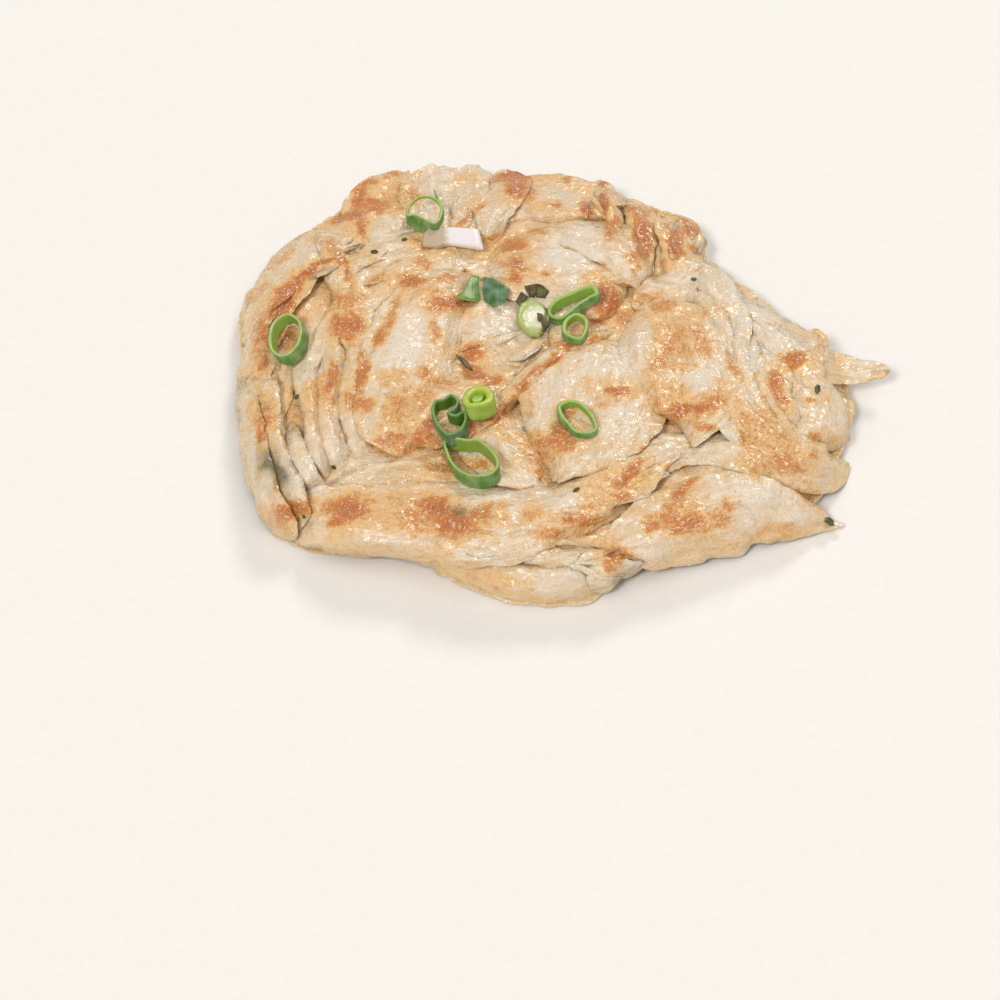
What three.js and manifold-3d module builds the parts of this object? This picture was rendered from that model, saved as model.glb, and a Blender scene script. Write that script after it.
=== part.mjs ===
// A round, pan-fried flatbread of many thin dough layers, scrunched loose so that its folds stand up,
// with cut scallion on top. Millimetres, +Z up; it lies on z = 0 with its best side up.
//
// Every fold is a strip of dough laid over those under it, from the rim inwards. Its stations give
// where its middle runs and half its width. They are drawn on a level plane at DRAWN_HEIGHT as they
// are seen from EYE, and each point then slides along its line of sight to its own height.
import * as THREE from "three";
import { mergeVertices } from "three/addons/utils/BufferGeometryUtils.js";
import Module from "manifold-3d";

// Driving dimensions
const DRAWN_HEIGHT = 18; // the level that the outlines are drawn on
const EYE = new THREE.Vector3(-12.4, -382.5, 408.8); // where they are seen from
const CORE_HEIGHT = 11.5; // the dense middle of the bread
const CORE_SWELL = 1.6; // how far its top rises and falls
const FRONT_RIM = 1.5; // height of the core's edge at the front, where its side slopes
const BACK_RIM = 8; // and at the back, where its side is upright
const RIM_RISE = 6.5; // over this distance the core rises from its rim
const FOOT_INSET = 5; // the underside is this much smaller all round
const LAYER = 1.1; // thickness of a fold at a free edge
const FREE_EDGE = 6; // the stretch next to that edge which doesn't lie on the dough below
const CURL_REACH = 3.2; // how far in from its edge a fold curls up
const TUCK_REACH = 6; // how far in from its edge a fold starts to sink into the pile
const END_REACH = 11; // the same for its ends
const FINEST = 0.02; // the joined dough keeps no detail smaller than this
const WRINKLE = 0.5; // depth of the slow wrinkles along a fold
const PAN_LEVEL = 21; // nothing stands above this, since the top was pressed on the griddle too
const PAN_SOFTNESS = 6; // the bumps within this of the level are flattened
const DRAPE_REACH = 3; // a fold lies over bumps this near
const DRAPE_SOFT = 4; // and bridges hollows about this wide
const CLEARANCE = 0.35; // between a piece of scallion and the dough

// Resolution
const CELL = 1; // grid of the pile's height
const FACET = 11; // about how long a face is
const CORE_SECTORS = 36;
const CORE_ROWS = 12;

// Small helpers
const clamp = THREE.MathUtils.clamp;
const lerp = THREE.MathUtils.lerp;
const smooth = (x) => THREE.MathUtils.smoothstep(x, 0, 1);

// A slow wave over the plan, from -1 to 1, different for each seed.
function ripple(x, y, seed, wavelength) {
  let sum = 0;
  for (let k = 1; k <= 3; k++) {
    const heading = 1.7 * seed + 2.4 * k;
    const along = x * Math.cos(heading) + y * Math.sin(heading);
    sum += Math.sin((along * 2 * Math.PI * (0.7 + 0.3 * k)) / wavelength + 2.3 * seed + 1.1 * k);
  }
  return sum / 3;
}

// The point at height z on the line of sight through (x, y) of the drawn plane.
function sight(x, y, z) {
  const t = (EYE.z - z) / (EYE.z - DRAWN_HEIGHT);
  return new THREE.Vector3(EYE.x + (x - EYE.x) * t, EYE.y + (y - EYE.y) * t, z);
}

// The core's outline on the drawn plane, from its right-hand side round past the back.
const CORE_MIDDLE = new THREE.Vector3(0, 4, 0);
const CORE_OUTLINE = new THREE.CatmullRomCurve3(
  [
    [80, -6], [69, 19], [51, 44], [43, 60], [20, 77], [-16, 84], [-46, 78], [-66, 60],
    [-80, 38], [-82, 4], [-78, -34], [-58, -54], [-30, -64], [0, -76], [26, -69], [50, -62],
    [68, -54], [78, -34],
  ].map(([x, y]) => new THREE.Vector3(x, y, 0)),
  true,
);

// The folds, the lowest first. path: stations [x, y, half width]; crown: how far the middle stands
// above the edges; lift: how far the left and the right edge curl up from what is below, or under 0
// how far they sink into it; ends: the same for the two ends; hold: the height under which the
// dough's own stiffness doesn't let it sink; taper and tip: how much and how far an end narrows.
const FOLDS = [
  // the rim at the back
  {
    path: [[-43, 52, 7], [-46, 66, 12], [-43, 79, 12], [-38, 92, 8]],
    crown: 2, lift: [1.2, -1], ends: [-1.5, 0.6], hold: 9,
  },
  {
    path: [[-22, 54, 9], [-22, 68, 14], [-23, 81, 16], [-22, 93, 13]],
    crown: 1, lift: [0.5, -1], ends: [-1.5, 0.4], hold: 9, taper: 0.4,
  },
  {
    path: [[-8, 72, 6], [3, 75, 12], [14, 74, 11.5], [24, 70, 8.5], [32, 62, 4]],
    crown: 1.5, lift: [0.8, -1.5], hold: 9,
  },
  {
    path: [[-13, 54, 3], [-11, 68, 5], [-6, 79, 6], [-4, 90, 6]],
    crown: 1.5, lift: [0.4, 0.6], ends: [-1, 0.4], hold: 10,
  },
  {
    path: [[20, 52, 2.5], [25, 63, 3.5], [24, 75, 3], [22, 84, 2]],
    crown: 1.6, lift: [-0.5, 0.8], ends: [-1, 0.6], hold: 9,
  },
  {
    path: [[34, 35, 3], [38, 48, 3], [38, 59, 2.6], [36, 69, 2]],
    crown: 1.2, lift: [-0.6, 0.3], hold: 9,
  },
  {
    path: [[28, 38, 3], [32, 50, 4.8], [34, 62, 5], [31, 74, 3.5]],
    crown: 2, lift: [-0.4, 1], ends: [-1, 0.5], hold: 9,
  },
  {
    path: [[44, 35, 5], [44.5, 47, 6.6], [44, 58, 6.8], [39.5, 66, 4.6]],
    crown: 2.5, lift: [1.2, 0.6], ends: [-1, 0.3], hold: 8,
  },
  { path: [[33, 32, 4], [41, 35, 6.5], [50, 42, 5]], crown: 0.6, lift: [-1, 1], hold: 8 },
  // the left side
  {
    path: [[-77, -4, 7], [-75, 18, 9], [-71, 38, 11], [-61, 55, 11], [-50, 63, 7]],
    crown: 1, lift: [-1, 0], hold: 6,
  },
  {
    path: [[-64, 4, 6], [-64, 20, 7], [-63, 36, 7], [-60, 50, 5]],
    crown: 0.4, lift: [-1, -1], hold: 8,
  },
  {
    path: [[-82, -2, 4.5], [-79, 16, 5.6], [-77, 32, 7.6], [-72, 46, 8.6], [-64, 58, 7.4], [-53, 66, 4]],
    crown: 2, lift: [0, 2.2], hold: 5,
  },
  {
    path: [[-52, 18, 4], [-54, 34, 5], [-57, 47, 5], [-60, 58, 4.5], [-63, 68, 2.5]],
    crown: 2.2, lift: [1.2, -1],
  },
  { path: [[-64, 3, 3], [-60, 16, 5], [-56, 27, 6], [-52, 39, 4]], crown: 1.6, lift: [1.2, -1] },
  // the middle, behind
  { path: [[-47, 8, 9], [-46, 28, 11], [-43, 45, 11], [-36, 62, 8]], crown: 1, lift: [0.4, -1] },
  { path: [[-53, 46, 5], [-42, 55, 7], [-30, 55, 8], [-16, 46, 6]], crown: 0.8, lift: [0.5, 0.6] },
  { path: [[-47, 38, 5], [-36, 45, 6.5], [-27, 48, 6], [-18, 56, 4]], crown: 1, lift: [0.6, 0.7] },
  { path: [[-26, 33, 7], [-13, 22, 12], [-4, 10, 11], [1, -1, 4]], crown: 0.3, lift: [-1, -1] },
  { path: [[26, 36, 5], [38, 33, 7], [51, 30, 5]], crown: 0.6, lift: [-1, 0.6] },
  {
    path: [[-16, 48, 8], [-5, 46, 15], [9, 45, 19], [21, 43, 16], [33, 38, 8]],
    crown: 3.4, lift: [-1.5, 0.8],
  },
  { path: [[4, 62, 4], [16, 58, 7], [27, 49, 7.5], [32, 34, 4]], crown: 1.6, lift: [-1, 1] },
  { path: [[16, 19, 4], [20, 29, 6], [22, 40, 4.5]], crown: 1.4, lift: [0.5, -1] },
  // the right side
  {
    path: [[50, 40, 6], [58, 22, 10], [66, 2, 13], [69, -18, 13.5], [70, -38, 8]],
    crown: 1, lift: [0.2, -1], hold: 5,
  },
  {
    path: [[54, 31, 4.5], [62, 20, 6.2], [71, 8, 8], [77, -7, 8], [79, -20, 6.4], [77, -33, 4]],
    crown: 1.6, lift: [0.6, -1], hold: 5,
  },
  {
    path: [[66, 6, 7], [77, 1, 7], [87, -2.7, 5.4], [93, -2.9, 3.8], [98, -3, 3]],
    crown: 0.8, lift: [0.6, 0.6], ends: [-1.5, 0.8], hold: 8, taper: 0.9, tip: 3,
  },
  {
    path: [[74, -1, 3], [78, 7, 3.6], [80, 15, 3]],
    crown: 0.4, hold: 9, lift: [0.8, 1.2], ends: [-1, 1.4],
  },
  {
    path: [[49, 46, 3.4], [54, 33, 5.6], [55, 20, 6.4], [54, 6, 6], [52, -10, 3]],
    crown: 1.4, lift: [0.8, -1], hold: 7,
  },
  { path: [[66, 20, 3], [68, 10, 5], [69, -2, 5.5], [69, -14, 3]], crown: 1.4, lift: [0.8, -0.6] },
  { path: [[46, 32, 3], [51, 20, 5], [51, 8, 4.5], [50, -7, 3]], crown: 1.2, lift: [0.9, -1] },
  { path: [[72, -4, 5], [77, -18, 7], [76, -33, 5.6]], crown: 1.2, lift: [0.4, 0.6], hold: 5 },
  { path: [[70, 9, 3], [74, 0, 5], [77, -9, 3]], crown: 1.4, lift: [0.8, -0.8] },
  { path: [[61, 14, 1.8], [61, -2, 2.6], [64, -15, 2.6], [69, -30, 2]], crown: 1.2, lift: [0.8, -0.4] },
  { path: [[57, 18, 2], [57, 0, 3], [59, -13, 3], [65, -29, 2]], crown: 1.3, lift: [0.9, -0.4] },
  { path: [[66, 2, 2], [66, -8, 3.4], [67, -20, 2]], crown: 1.4, lift: [0.7, -0.4] },
  {
    path: [[52, 8, 4], [54, -12, 6.5], [58, -25, 9], [66, -35, 10], [75, -39, 9], [82, -38, 4]],
    crown: 3, lift: [-1, 1.2], hold: 2,
  },
  // the ribs at the left
  {
    path: [[-50, 19, 3.4], [-51, 6, 4.6], [-52, -7, 4.6], [-50, -19, 4.4], [-46, -31, 4]],
    crown: 1.8, lift: [-1, 1],
  },
  {
    path: [[-57, 19, 2.6], [-58.5, 5, 3.6], [-59, -7, 3.4], [-58, -20, 3.8], [-54, -35, 4]],
    crown: 1.8, lift: [-0.8, 1.2],
  },
  {
    path: [[-66, 12, 4], [-65, -1, 3.6], [-64, -12, 2.6], [-62, -24, 2.8], [-59, -38, 4]],
    crown: 2, lift: [-0.6, 1.4],
  },
  {
    path: [[-69, -14, 2], [-67.5, -24, 3.2], [-65, -34, 4.2], [-61, -43, 4]],
    crown: 1.4, lift: [0.6, 0.8],
  },
  // the front
  {
    path: [[-59, -38, 2], [-50, -36, 5], [-39, -35, 6], [-26, -35.5, 6.4], [-6, -38, 6]],
    crown: 0.2, lift: [0.7, -1], ends: [0.2, -1.5],
  },
  { path: [[-14, -66, 4], [0, -64, 7], [12, -61, 6.5], [25, -54, 5]], crown: -0.4, lift: [-1, -1] },
  {
    path: [
      [-72, -48, 4], [-60, -54.5, 7], [-45, -55, 6.5], [-30, -60.5, 7.5], [-14, -70, 8],
      [2, -73.5, 8.4], [15, -73, 6.5],
    ],
    crown: 1.8, lift: [-0.8, -0.6], hold: 0.8,
  },
  { path: [[18, -52, 5], [34, -44, 6.4], [48, -38, 7], [64, -42, 4]], crown: 0.8, lift: [0.8, -0.8] },
  { path: [[25, -34, 4], [40, -30, 5.4], [52, -32, 6], [63, -41, 4]], crown: 0.8, lift: [-1, 1.2] },
  {
    path: [
      [-70, -48, 9], [-60, -49, 11], [-44, -51, 12], [-24, -51.5, 13.5], [-6, -52, 12.5],
      [8, -48, 10], [20, -39, 9], [31, -31, 7], [44, -25, 4],
    ],
    crown: 3.2, lift: [0.9, -0.4], hold: 1, taper: 0.4,
  },
  // the corner at the front left
  {
    path: [
      [-79, 8, 5], [-77.5, -6, 5], [-75, -19, 4.4], [-72, -32, 4.6], [-68.5, -43, 5], [-66, -53, 4],
    ],
    crown: 2, lift: [1.1, -0.5], hold: 2,
  },
  {
    path: [
      [-83, 4, 3], [-81.2, -9, 3.4], [-78.8, -22, 3.6], [-76.4, -35, 4], [-72.4, -46, 4], [-67, -56, 3],
    ],
    crown: 1.4, lift: [0.7, -0.5], hold: 1.5,
  },
  { path: [[-36, -56, 3], [-22, -61, 6.5], [-8, -60, 6], [4, -55, 4]], crown: 1, lift: [-1, 0.8] },
  { path: [[-8, -51, 3], [8, -45, 5.5], [20, -37, 6], [32, -28, 3.4]], crown: 1.4, lift: [-0.8, 0.9] },
  {
    path: [[14, -67, 6], [24, -61, 10.5], [36, -56, 14], [50, -52, 14], [62, -54, 9], [76, -59, 3]],
    crown: 3.6, lift: [1.2, 0.3], ends: [-0.8, 0.8], hold: 1,
  },
  { path: [[10, -77, 3.4], [15, -70, 4.4], [17, -62, 3]], crown: 0.2, lift: [0.4, -0.4] },
  // the great folds in the middle
  { path: [[-18, -4, 5], [-16, -18, 10], [-9, -30, 11], [1, -40, 5]], crown: 1.6, lift: [-1, 0.8] },
  {
    path: [[-17, 44, 5], [-29, 35, 11], [-35, 18, 14], [-37, 2, 14], [-39, -14, 12], [-38, -29, 7]],
    crown: 3.2, lift: [-1, 1], ends: [-1, 0.8],
  },
  { path: [[-42, -22, 7], [-29, -14, 12], [-15, -4, 9.5], [-1, 6, 4]], crown: 2, lift: [-1, 1.5] },
  {
    path: [[19, 14, 12], [16, 2, 19], [14, -12, 21], [9, -26, 15], [3, -39, 5]],
    crown: 3.4, lift: [1.2, -0.8], ends: [0.9, 0.9],
  },
  {
    path: [[-13, -14, 2.5], [-4, -1, 3.4], [4, 8, 3.4], [13, 13, 3], [24, 17, 2]],
    crown: 1, lift: [0.9, -1],
  },
  {
    path: [[31, 29, 8], [37, 18, 14.5], [39, 5, 15.5], [42, -8, 14], [43, -18, 10], [41, -27, 3.5]],
    crown: 3, lift: [0.9, -0.6], ends: [0.4, 0.9],
  },
  { path: [[49, -18, 2], [52, -26, 2], [54, -35, 1]], crown: 0.6, lift: [0.6, 0.6] },
];

// Layers that show one above another in the side, where no fold hangs over it. from and to are
// shares of the way round the core's outline; level is their height; reach, how far they stand out.
const SIDE_LAYERS = [
  { from: 0.9, to: 1.12, level: 3.5, reach: 2.5 },
  { from: 0.04, to: 0.3, level: 4.5, reach: 4 },
  { from: 0.22, to: 0.47, level: 3, reach: 3.2 },
  { from: 0.38, to: 0.56, level: 4.6, reach: 3 },
  { from: 0.07, to: 0.21, level: 7.2, reach: 4.6 },
  { from: 0.18, to: 0.37, level: 6.8, reach: 5 },
  { from: 0.33, to: 0.47, level: 7.4, reach: 4.4 },
];

// The height of what lies under the next fold, on a grid over the drawn plane.
const GRID_LOW = new THREE.Vector2(-110, -105);
const GRID_COLUMNS = 230;
const GRID_ROWS = 220;
const pile = new Float64Array(GRID_COLUMNS * GRID_ROWS);

function raise(x, y, z) {
  const column = Math.round((x - GRID_LOW.x) / CELL);
  const row = Math.round((y - GRID_LOW.y) / CELL);
  if (column < 0 || row < 0 || column >= GRID_COLUMNS || row >= GRID_ROWS) return;
  const i = row * GRID_COLUMNS + column;
  pile[i] = Math.max(pile[i], z);
}

// Runs reduce over the window of each cell, along rows and then along columns.
function sweep(source, reach, reduce) {
  let from = source;
  for (const [stride, limit, other] of [
    [1, GRID_COLUMNS, GRID_ROWS],
    [GRID_COLUMNS, GRID_ROWS, GRID_COLUMNS],
  ]) {
    const to = new Float64Array(from.length);
    const across = stride === 1 ? GRID_COLUMNS : 1;
    for (let line = 0; line < other; line++) {
      for (let i = 0; i < limit; i++) {
        const low = Math.max(0, i - reach);
        const high = Math.min(limit - 1, i + reach);
        const window = [];
        for (let k = low; k <= high; k++) window.push(from[line * across + k * stride]);
        to[line * across + i * stride] = reduce(window);
      }
    }
    from = to;
  }
  return from;
}

const largest = (values) => Math.max(...values);
const mean = (values) => values.reduce((a, b) => a + b, 0) / values.length;

// The surface that a sheet of dough takes over the pile, as a function of the plan.
function drape() {
  const covered = sweep(pile, DRAPE_REACH, largest);
  const soft = sweep(sweep(covered, DRAPE_SOFT, mean), DRAPE_SOFT, mean);
  return (x, y) => {
    const column = clamp((x - GRID_LOW.x) / CELL, 0, GRID_COLUMNS - 1.001);
    const row = clamp((y - GRID_LOW.y) / CELL, 0, GRID_ROWS - 1.001);
    const c = Math.floor(column);
    const r = Math.floor(row);
    const at = (dc, dr) => soft[(r + dr) * GRID_COLUMNS + c + dc];
    return lerp(lerp(at(0, 0), at(1, 0), column - c), lerp(at(0, 1), at(1, 1), column - c), row - r);
  };
}

// The core
function coreHeight(edge, share) {
  const rim = edge.clone().sub(CORE_MIDDLE);
  const backward = rim.y / rim.length();
  const low = lerp(FRONT_RIM, BACK_RIM, smooth((backward + 0.6) / 1.4));
  const at = CORE_MIDDLE.clone().addScaledVector(rim, share);
  const top = CORE_HEIGHT + CORE_SWELL * ripple(at.x, at.y, 1, 60);
  const inward = (1 - share) * rim.length();
  return { at, z: lerp(low, top, 1 - Math.exp(-inward / RIM_RISE)) };
}

function coreGeometry() {
  const geometry = new THREE.SphereGeometry(1, CORE_SECTORS, CORE_ROWS);
  const position = geometry.attributes.position;
  const uv = geometry.attributes.uv;
  const footShare = 0.25; // of the lower half of the rows, this many make the side
  for (let i = 0; i < position.count; i++) {
    const edge = CORE_OUTLINE.getPoint(uv.getX(i) % 1);
    const down = 2 * (1 - uv.getY(i)); // 0 in the middle of the top, 1 at the rim, 2 underneath
    const rim = coreHeight(edge, 1);
    let point;
    if (down <= 1) {
      const { at, z } = coreHeight(edge, Math.sin((down * Math.PI) / 2));
      point = sight(at.x, at.y, z);
    } else {
      const outer = sight(rim.at.x, rim.at.y, rim.z);
      const middle = sight(CORE_MIDDLE.x, CORE_MIDDLE.y, 0);
      const inward = middle.clone().sub(outer).setZ(0);
      const foot = outer.clone().addScaledVector(inward.clone().normalize(), FOOT_INSET).setZ(0);
      const wall = (down - 1) / footShare;
      point =
        wall < 1
          ? outer.clone().lerp(foot, wall)
          : foot.clone().lerp(middle, (down - 1 - footShare) / (1 - footShare));
    }
    position.setXYZ(i, point.x, point.y, point.z);
  }
  return geometry;
}

function pileCore() {
  for (let turn = 0; turn < 1; turn += 0.001) {
    const edge = CORE_OUTLINE.getPoint(turn);
    for (let share = 0; share <= 1; share += 0.01) {
      const { at, z } = coreHeight(edge, share);
      raise(at.x, at.y, z);
    }
  }
}

// The griddle flattens what stands high.
function press(z) {
  const low = PAN_LEVEL - PAN_SOFTNESS;
  return z > low ? low + PAN_SOFTNESS * (1 - Math.exp((low - z) / PAN_SOFTNESS)) : z;
}

// What an edge adds to the height at this distance from it.
function edgeRise(distance, lift, reach, unevenness) {
  if (lift >= 0) return lift * (1 + 0.6 * unevenness) * Math.exp(-distance / CURL_REACH);
  return (lift - 1.2) * (1 - smooth(distance / reach));
}

// A fold: a box of one layer of cells, laid along its path and pressed on to the pile
function foldShape(fold, seed, support) {
  const { path, crown = 2.5, lift = [0.9, 0.9], ends = [-1.5, -1.5], hold = 0.6, taper = 0.75 } = fold;
  const { tip = Infinity } = fold;
  const stations = path.map((p) => new THREE.Vector3(...p));
  const curve = new THREE.CatmullRomCurve3(stations, false, "centripetal");
  const length = curve.getLength();
  const widest = Math.max(...path.map((p) => p[2]));
  const cap = Math.min(widest, length * 0.3, tip) / length; // the share that rounds off an end
  const sideReach = Math.min(TUCK_REACH, 0.55 * widest + 1);
  const endReach = Math.min(END_REACH, 0.3 * length);
  const at = (u, v) => {
    const station = curve.getPoint(u);
    const along = curve.getTangent(u);
    const flat = Math.hypot(along.x, along.y) || 1;
    const end = clamp(Math.min(u, 1 - u) / cap, 0, 1);
    const half = station.z * (1 - taper * (1 - end) ** 2.4);
    const x = station.x - (along.y / flat) * half * v;
    const y = station.y + (along.x / flat) * half * v;
    const bed = Math.max(hold, support(x, y));
    const toEdges = [(1 - v) * half, (1 + v) * half, u * length, (1 - u) * length];
    const uneven = ripple(x, y, seed + 7, 23);
    const rise = [...lift, ...ends].reduce(
      (sum, each, i) => sum + edgeRise(toEdges[i], each, i < 2 ? sideReach : endReach, uneven),
      0,
    );
    const edge = Math.min(...toEdges);
    const dome = (1 - Math.abs(v) ** 2.6) * (1 - Math.abs(2 * u - 1) ** 5);
    const wrinkle = WRINKLE * ripple(x, y, seed, 19) * smooth(edge / 4);
    const top = Math.max(press(bed + rise + crown * dome + wrinkle), 1);
    const bottom = Math.max(lerp(top - LAYER, bed - 2.5, smooth(edge / FREE_EDGE)), 0.25);
    return { x, y, top, bottom: Math.min(bottom, top - 0.6) };
  };
  return { at, length, widest };
}

function foldGeometry({ at, length, widest }) {
  const along = Math.max(4, Math.round(length / FACET));
  const across = clamp(Math.round((2 * widest) / FACET), 1, 5) * 2;
  const geometry = new THREE.BoxGeometry(2, 2, 2, along, Math.min(across, 6), 1);
  const position = geometry.attributes.position;
  for (let i = 0; i < position.count; i++) {
    const p = at((position.getX(i) + 1) / 2, position.getY(i));
    const placed = sight(p.x, p.y, position.getZ(i) > 0 ? p.top : p.bottom);
    position.setXYZ(i, placed.x, placed.y, placed.z);
  }
  return geometry;
}

function pileFold({ at, length, widest }) {
  const stepU = CELL / length / 2;
  const stepV = CELL / widest / 2;
  for (let u = 0; u <= 1; u += stepU) {
    for (let v = -1; v <= 1; v += stepV) {
      const p = at(u, v);
      raise(p.x, p.y, p.top);
    }
  }
}

// A side layer: a thin band that follows the core's side and stands out of it
function sideGeometry({ from, to, level, reach }, seed) {
  const segments = Math.round(((to - from) * 500) / FACET / 1.4);
  const geometry = new THREE.BoxGeometry(2, 2, 2, segments, 2, 1);
  const position = geometry.attributes.position;
  const root = 9; // how deep the band is set into the core
  for (let i = 0; i < position.count; i++) {
    const share = (position.getX(i) + 1) / 2;
    const edge = CORE_OUTLINE.getPoint((lerp(from, to, share) + 1) % 1);
    const rim = coreHeight(edge, 1);
    const outer = sight(rim.at.x, rim.at.y, rim.z);
    const outward = outer.clone().sub(sight(CORE_MIDDLE.x, CORE_MIDDLE.y, 0)).setZ(0).normalize();
    const fade = Math.sqrt(Math.sin(share * Math.PI));
    const wavy = reach * fade * (0.7 + 0.5 * ripple(edge.x, edge.y, seed + 3, 37));
    const radial = lerp(wavy, -root, (position.getY(i) + 1) / 2);
    const tilt = 1.4 * ripple(edge.x, edge.y, seed, 45) - 0.12 * Math.max(radial, 0);
    const z = level + tilt + (position.getZ(i) > 0 ? 1 : -1) * 0.7;
    const point = outer.addScaledVector(outward, radial);
    position.setXYZ(i, point.x, point.y, Math.max(z, 0.3));
  }
  return geometry;
}

// Solids for joining
const wasm = await Module();
wasm.setup();

function solid(geometry) {
  const bare = geometry.clone();
  bare.deleteAttribute("normal");
  bare.deleteAttribute("uv");
  const welded = mergeVertices(bare, 1e-3);
  return new wasm.Manifold(
    new wasm.Mesh({
      numProp: 3,
      vertProperties: new Float32Array(welded.attributes.position.array),
      triVerts: new Uint32Array(welded.index.array),
    }),
  );
}

function fromSolid(manifold) {
  const { vertProperties, triVerts, numProp } = manifold.getMesh();
  const geometry = new THREE.BufferGeometry();
  const position = new Float32Array((vertProperties.length / numProp) * 3);
  for (let i = 0; i < position.length / 3; i++) {
    for (let k = 0; k < 3; k++) position[3 * i + k] = vertProperties[i * numProp + k];
  }
  geometry.setAttribute("position", new THREE.BufferAttribute(position, 3));
  geometry.setIndex(new THREE.BufferAttribute(new Uint32Array(triVerts), 1));
  geometry.computeVertexNormals();
  return geometry;
}

// A solid's outer skin alone: pockets shut in between the folds count as dough.
function outerSkin(manifold) {
  const { vertProperties, triVerts, numProp } = manifold.getMesh();
  const parent = Array.from({ length: vertProperties.length / numProp }, (_, i) => i);
  const skinOf = (i) => {
    while (parent[i] !== i) i = parent[i];
    return i;
  };
  for (let i = 0; i < triVerts.length; i += 3) {
    parent[skinOf(triVerts[i])] = skinOf(triVerts[i + 1]);
    parent[skinOf(triVerts[i + 1])] = skinOf(triVerts[i + 2]);
  }
  const heights = parent.map((_, i) => vertProperties[i * numProp + 2]);
  const outer = skinOf(heights.indexOf(Math.max(...heights)));
  const kept = triVerts.filter((corner) => skinOf(corner) === outer);
  return new wasm.Manifold(new wasm.Mesh({ numProp, vertProperties, triVerts: kept }));
}

function breadSolid() {
  pileCore();
  let bread = solid(coreGeometry());
  SIDE_LAYERS.forEach((layer, i) => {
    bread = bread.add(solid(sideGeometry(layer, i)));
  });
  FOLDS.forEach((fold, i) => {
    const shape = foldShape(fold, i, drape());
    bread = bread.add(solid(foldGeometry(shape)));
    pileFold(shape);
  });
  return outerSkin(bread.simplify(FINEST));
}

// Cut scallion and onion on top; at: [x, y] on the drawn plane. A ring has its two radii, its wall,
// how tall it is, and how much less tall on its far side where it was cut at a slant.
const LEAF_GREEN = 0x6f9440;
const DARK_GREEN = 0x3f6b33;
const PALE_GREEN = 0xb9cf86;
const SCORCHED = 0x3d2c1d;
const ONION_WHITE = 0xf2ece8;
const RINGS = [
  {
    name: "scallion_ring_left", at: [-71.6, 22.5],
    radii: [5.3, 8], wall: 1.2, tall: 3.4, turn: -3, color: LEAF_GREEN,
  },
  {
    name: "scallion_ring_back", at: [-32, 73],
    radii: [5, 6.4], wall: 0.8, tall: 5.5, slant: 4, turn: 8, color: LEAF_GREEN,
  },
  {
    name: "scallion_bulb_pale", at: [-1.2, 25.2],
    radii: [4, 5], wall: 1.6, tall: 3.4, turn: 14, color: PALE_GREEN,
  },
  {
    name: "scallion_scorched", at: [1.4, 36.4],
    radii: [3.6, 2.4], wall: 1, tall: 2, turn: -10, color: SCORCHED,
  },
  {
    name: "scallion_loop", at: [12, 32],
    radii: [2.8, 7.6], wall: 1.2, tall: 2.6, turn: -58, color: LEAF_GREEN,
  },
  {
    name: "scallion_ring_small", at: [11.2, 20.6],
    radii: [3.4, 3.8], wall: 1, tall: 2.6, turn: -20, color: LEAF_GREEN,
  },
  {
    name: "scallion_curl_dark", at: [-26, -10.6],
    radii: [3.8, 6], wall: 1.3, tall: 2.8, turn: 16, color: DARK_GREEN,
  },
  {
    name: "scallion_tube_lime", at: [-17, -7.4],
    radii: [3.9, 5], wall: 1.2, tall: 4, turn: -6, color: LEAF_GREEN,
  },
  {
    name: "scallion_ring_front", at: [-19.8, -28.6],
    radii: [6.2, 8.4], wall: 1, tall: 3.8, turn: 48, color: LEAF_GREEN,
  },
  {
    name: "scallion_ring_middle", at: [9.6, -15.4],
    radii: [4.2, 7.3], wall: 1.2, tall: 1.8, turn: 26, color: DARK_GREEN,
  },
];

// A flat slice; bend: how much lower its left and right edges are than its middle.
const SLICES = [
  {
    name: "scallion_leaf_light", at: [-19, 37.4],
    size: [5.6, 9.5, 1], bend: 0.8, turn: 6, color: LEAF_GREEN,
  },
  {
    name: "scallion_leaf_dark", at: [-11.2, 36.8],
    size: [6.8, 9.8, 1], bend: 1, turn: -4, color: DARK_GREEN,
  },
  {
    name: "onion_white", at: [-21.4, 61.2],
    size: [12.5, 8.6, 1.4], bend: 1.2, turn: -8, color: ONION_WHITE,
  },
];

function ringGeometry({ radii, wall, tall, slant = 0 }) {
  const inner = 1 - wall / Math.min(...radii);
  const profile = [
    [inner, 0], [1, 0], [1, tall], [inner, tall], [inner, 0],
  ].map(([r, z]) => new THREE.Vector2(r, z));
  const geometry = new THREE.LatheGeometry(profile, 18).rotateX(Math.PI / 2).scale(...radii, 1);
  const position = geometry.attributes.position;
  for (let i = 0; i < position.count; i++) {
    const far = (position.getY(i) / radii[1] + 1) / 2;
    if (position.getZ(i) < tall / 2) position.setZ(i, position.getZ(i) + slant * far);
  }
  return geometry;
}

function sliceGeometry({ size: [width, depth, thick], bend }) {
  const geometry = new THREE.BoxGeometry(width, depth, thick, 4, 3, 1);
  const position = geometry.attributes.position;
  for (let i = 0; i < position.count; i++) {
    const drop = bend * (2 * position.getX(i) / width) ** 2;
    position.setZ(i, position.getZ(i) - drop);
  }
  return geometry;
}

function mesh(name, geometry, color, roughness) {
  const made = new THREE.Mesh(geometry, new THREE.MeshStandardMaterial({ color, roughness }));
  made.name = name;
  return made;
}

// Height of the nearest surface on a vertical line, looking down or up; undefined where there is none
function heightAt(target, x, y, up) {
  const from = new THREE.Vector3(x, y, up ? -100 : 100);
  const hits = new THREE.Raycaster(from, new THREE.Vector3(0, 0, up ? 1 : -1)).intersectObject(target);
  return hits[0]?.point.z;
}

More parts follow.
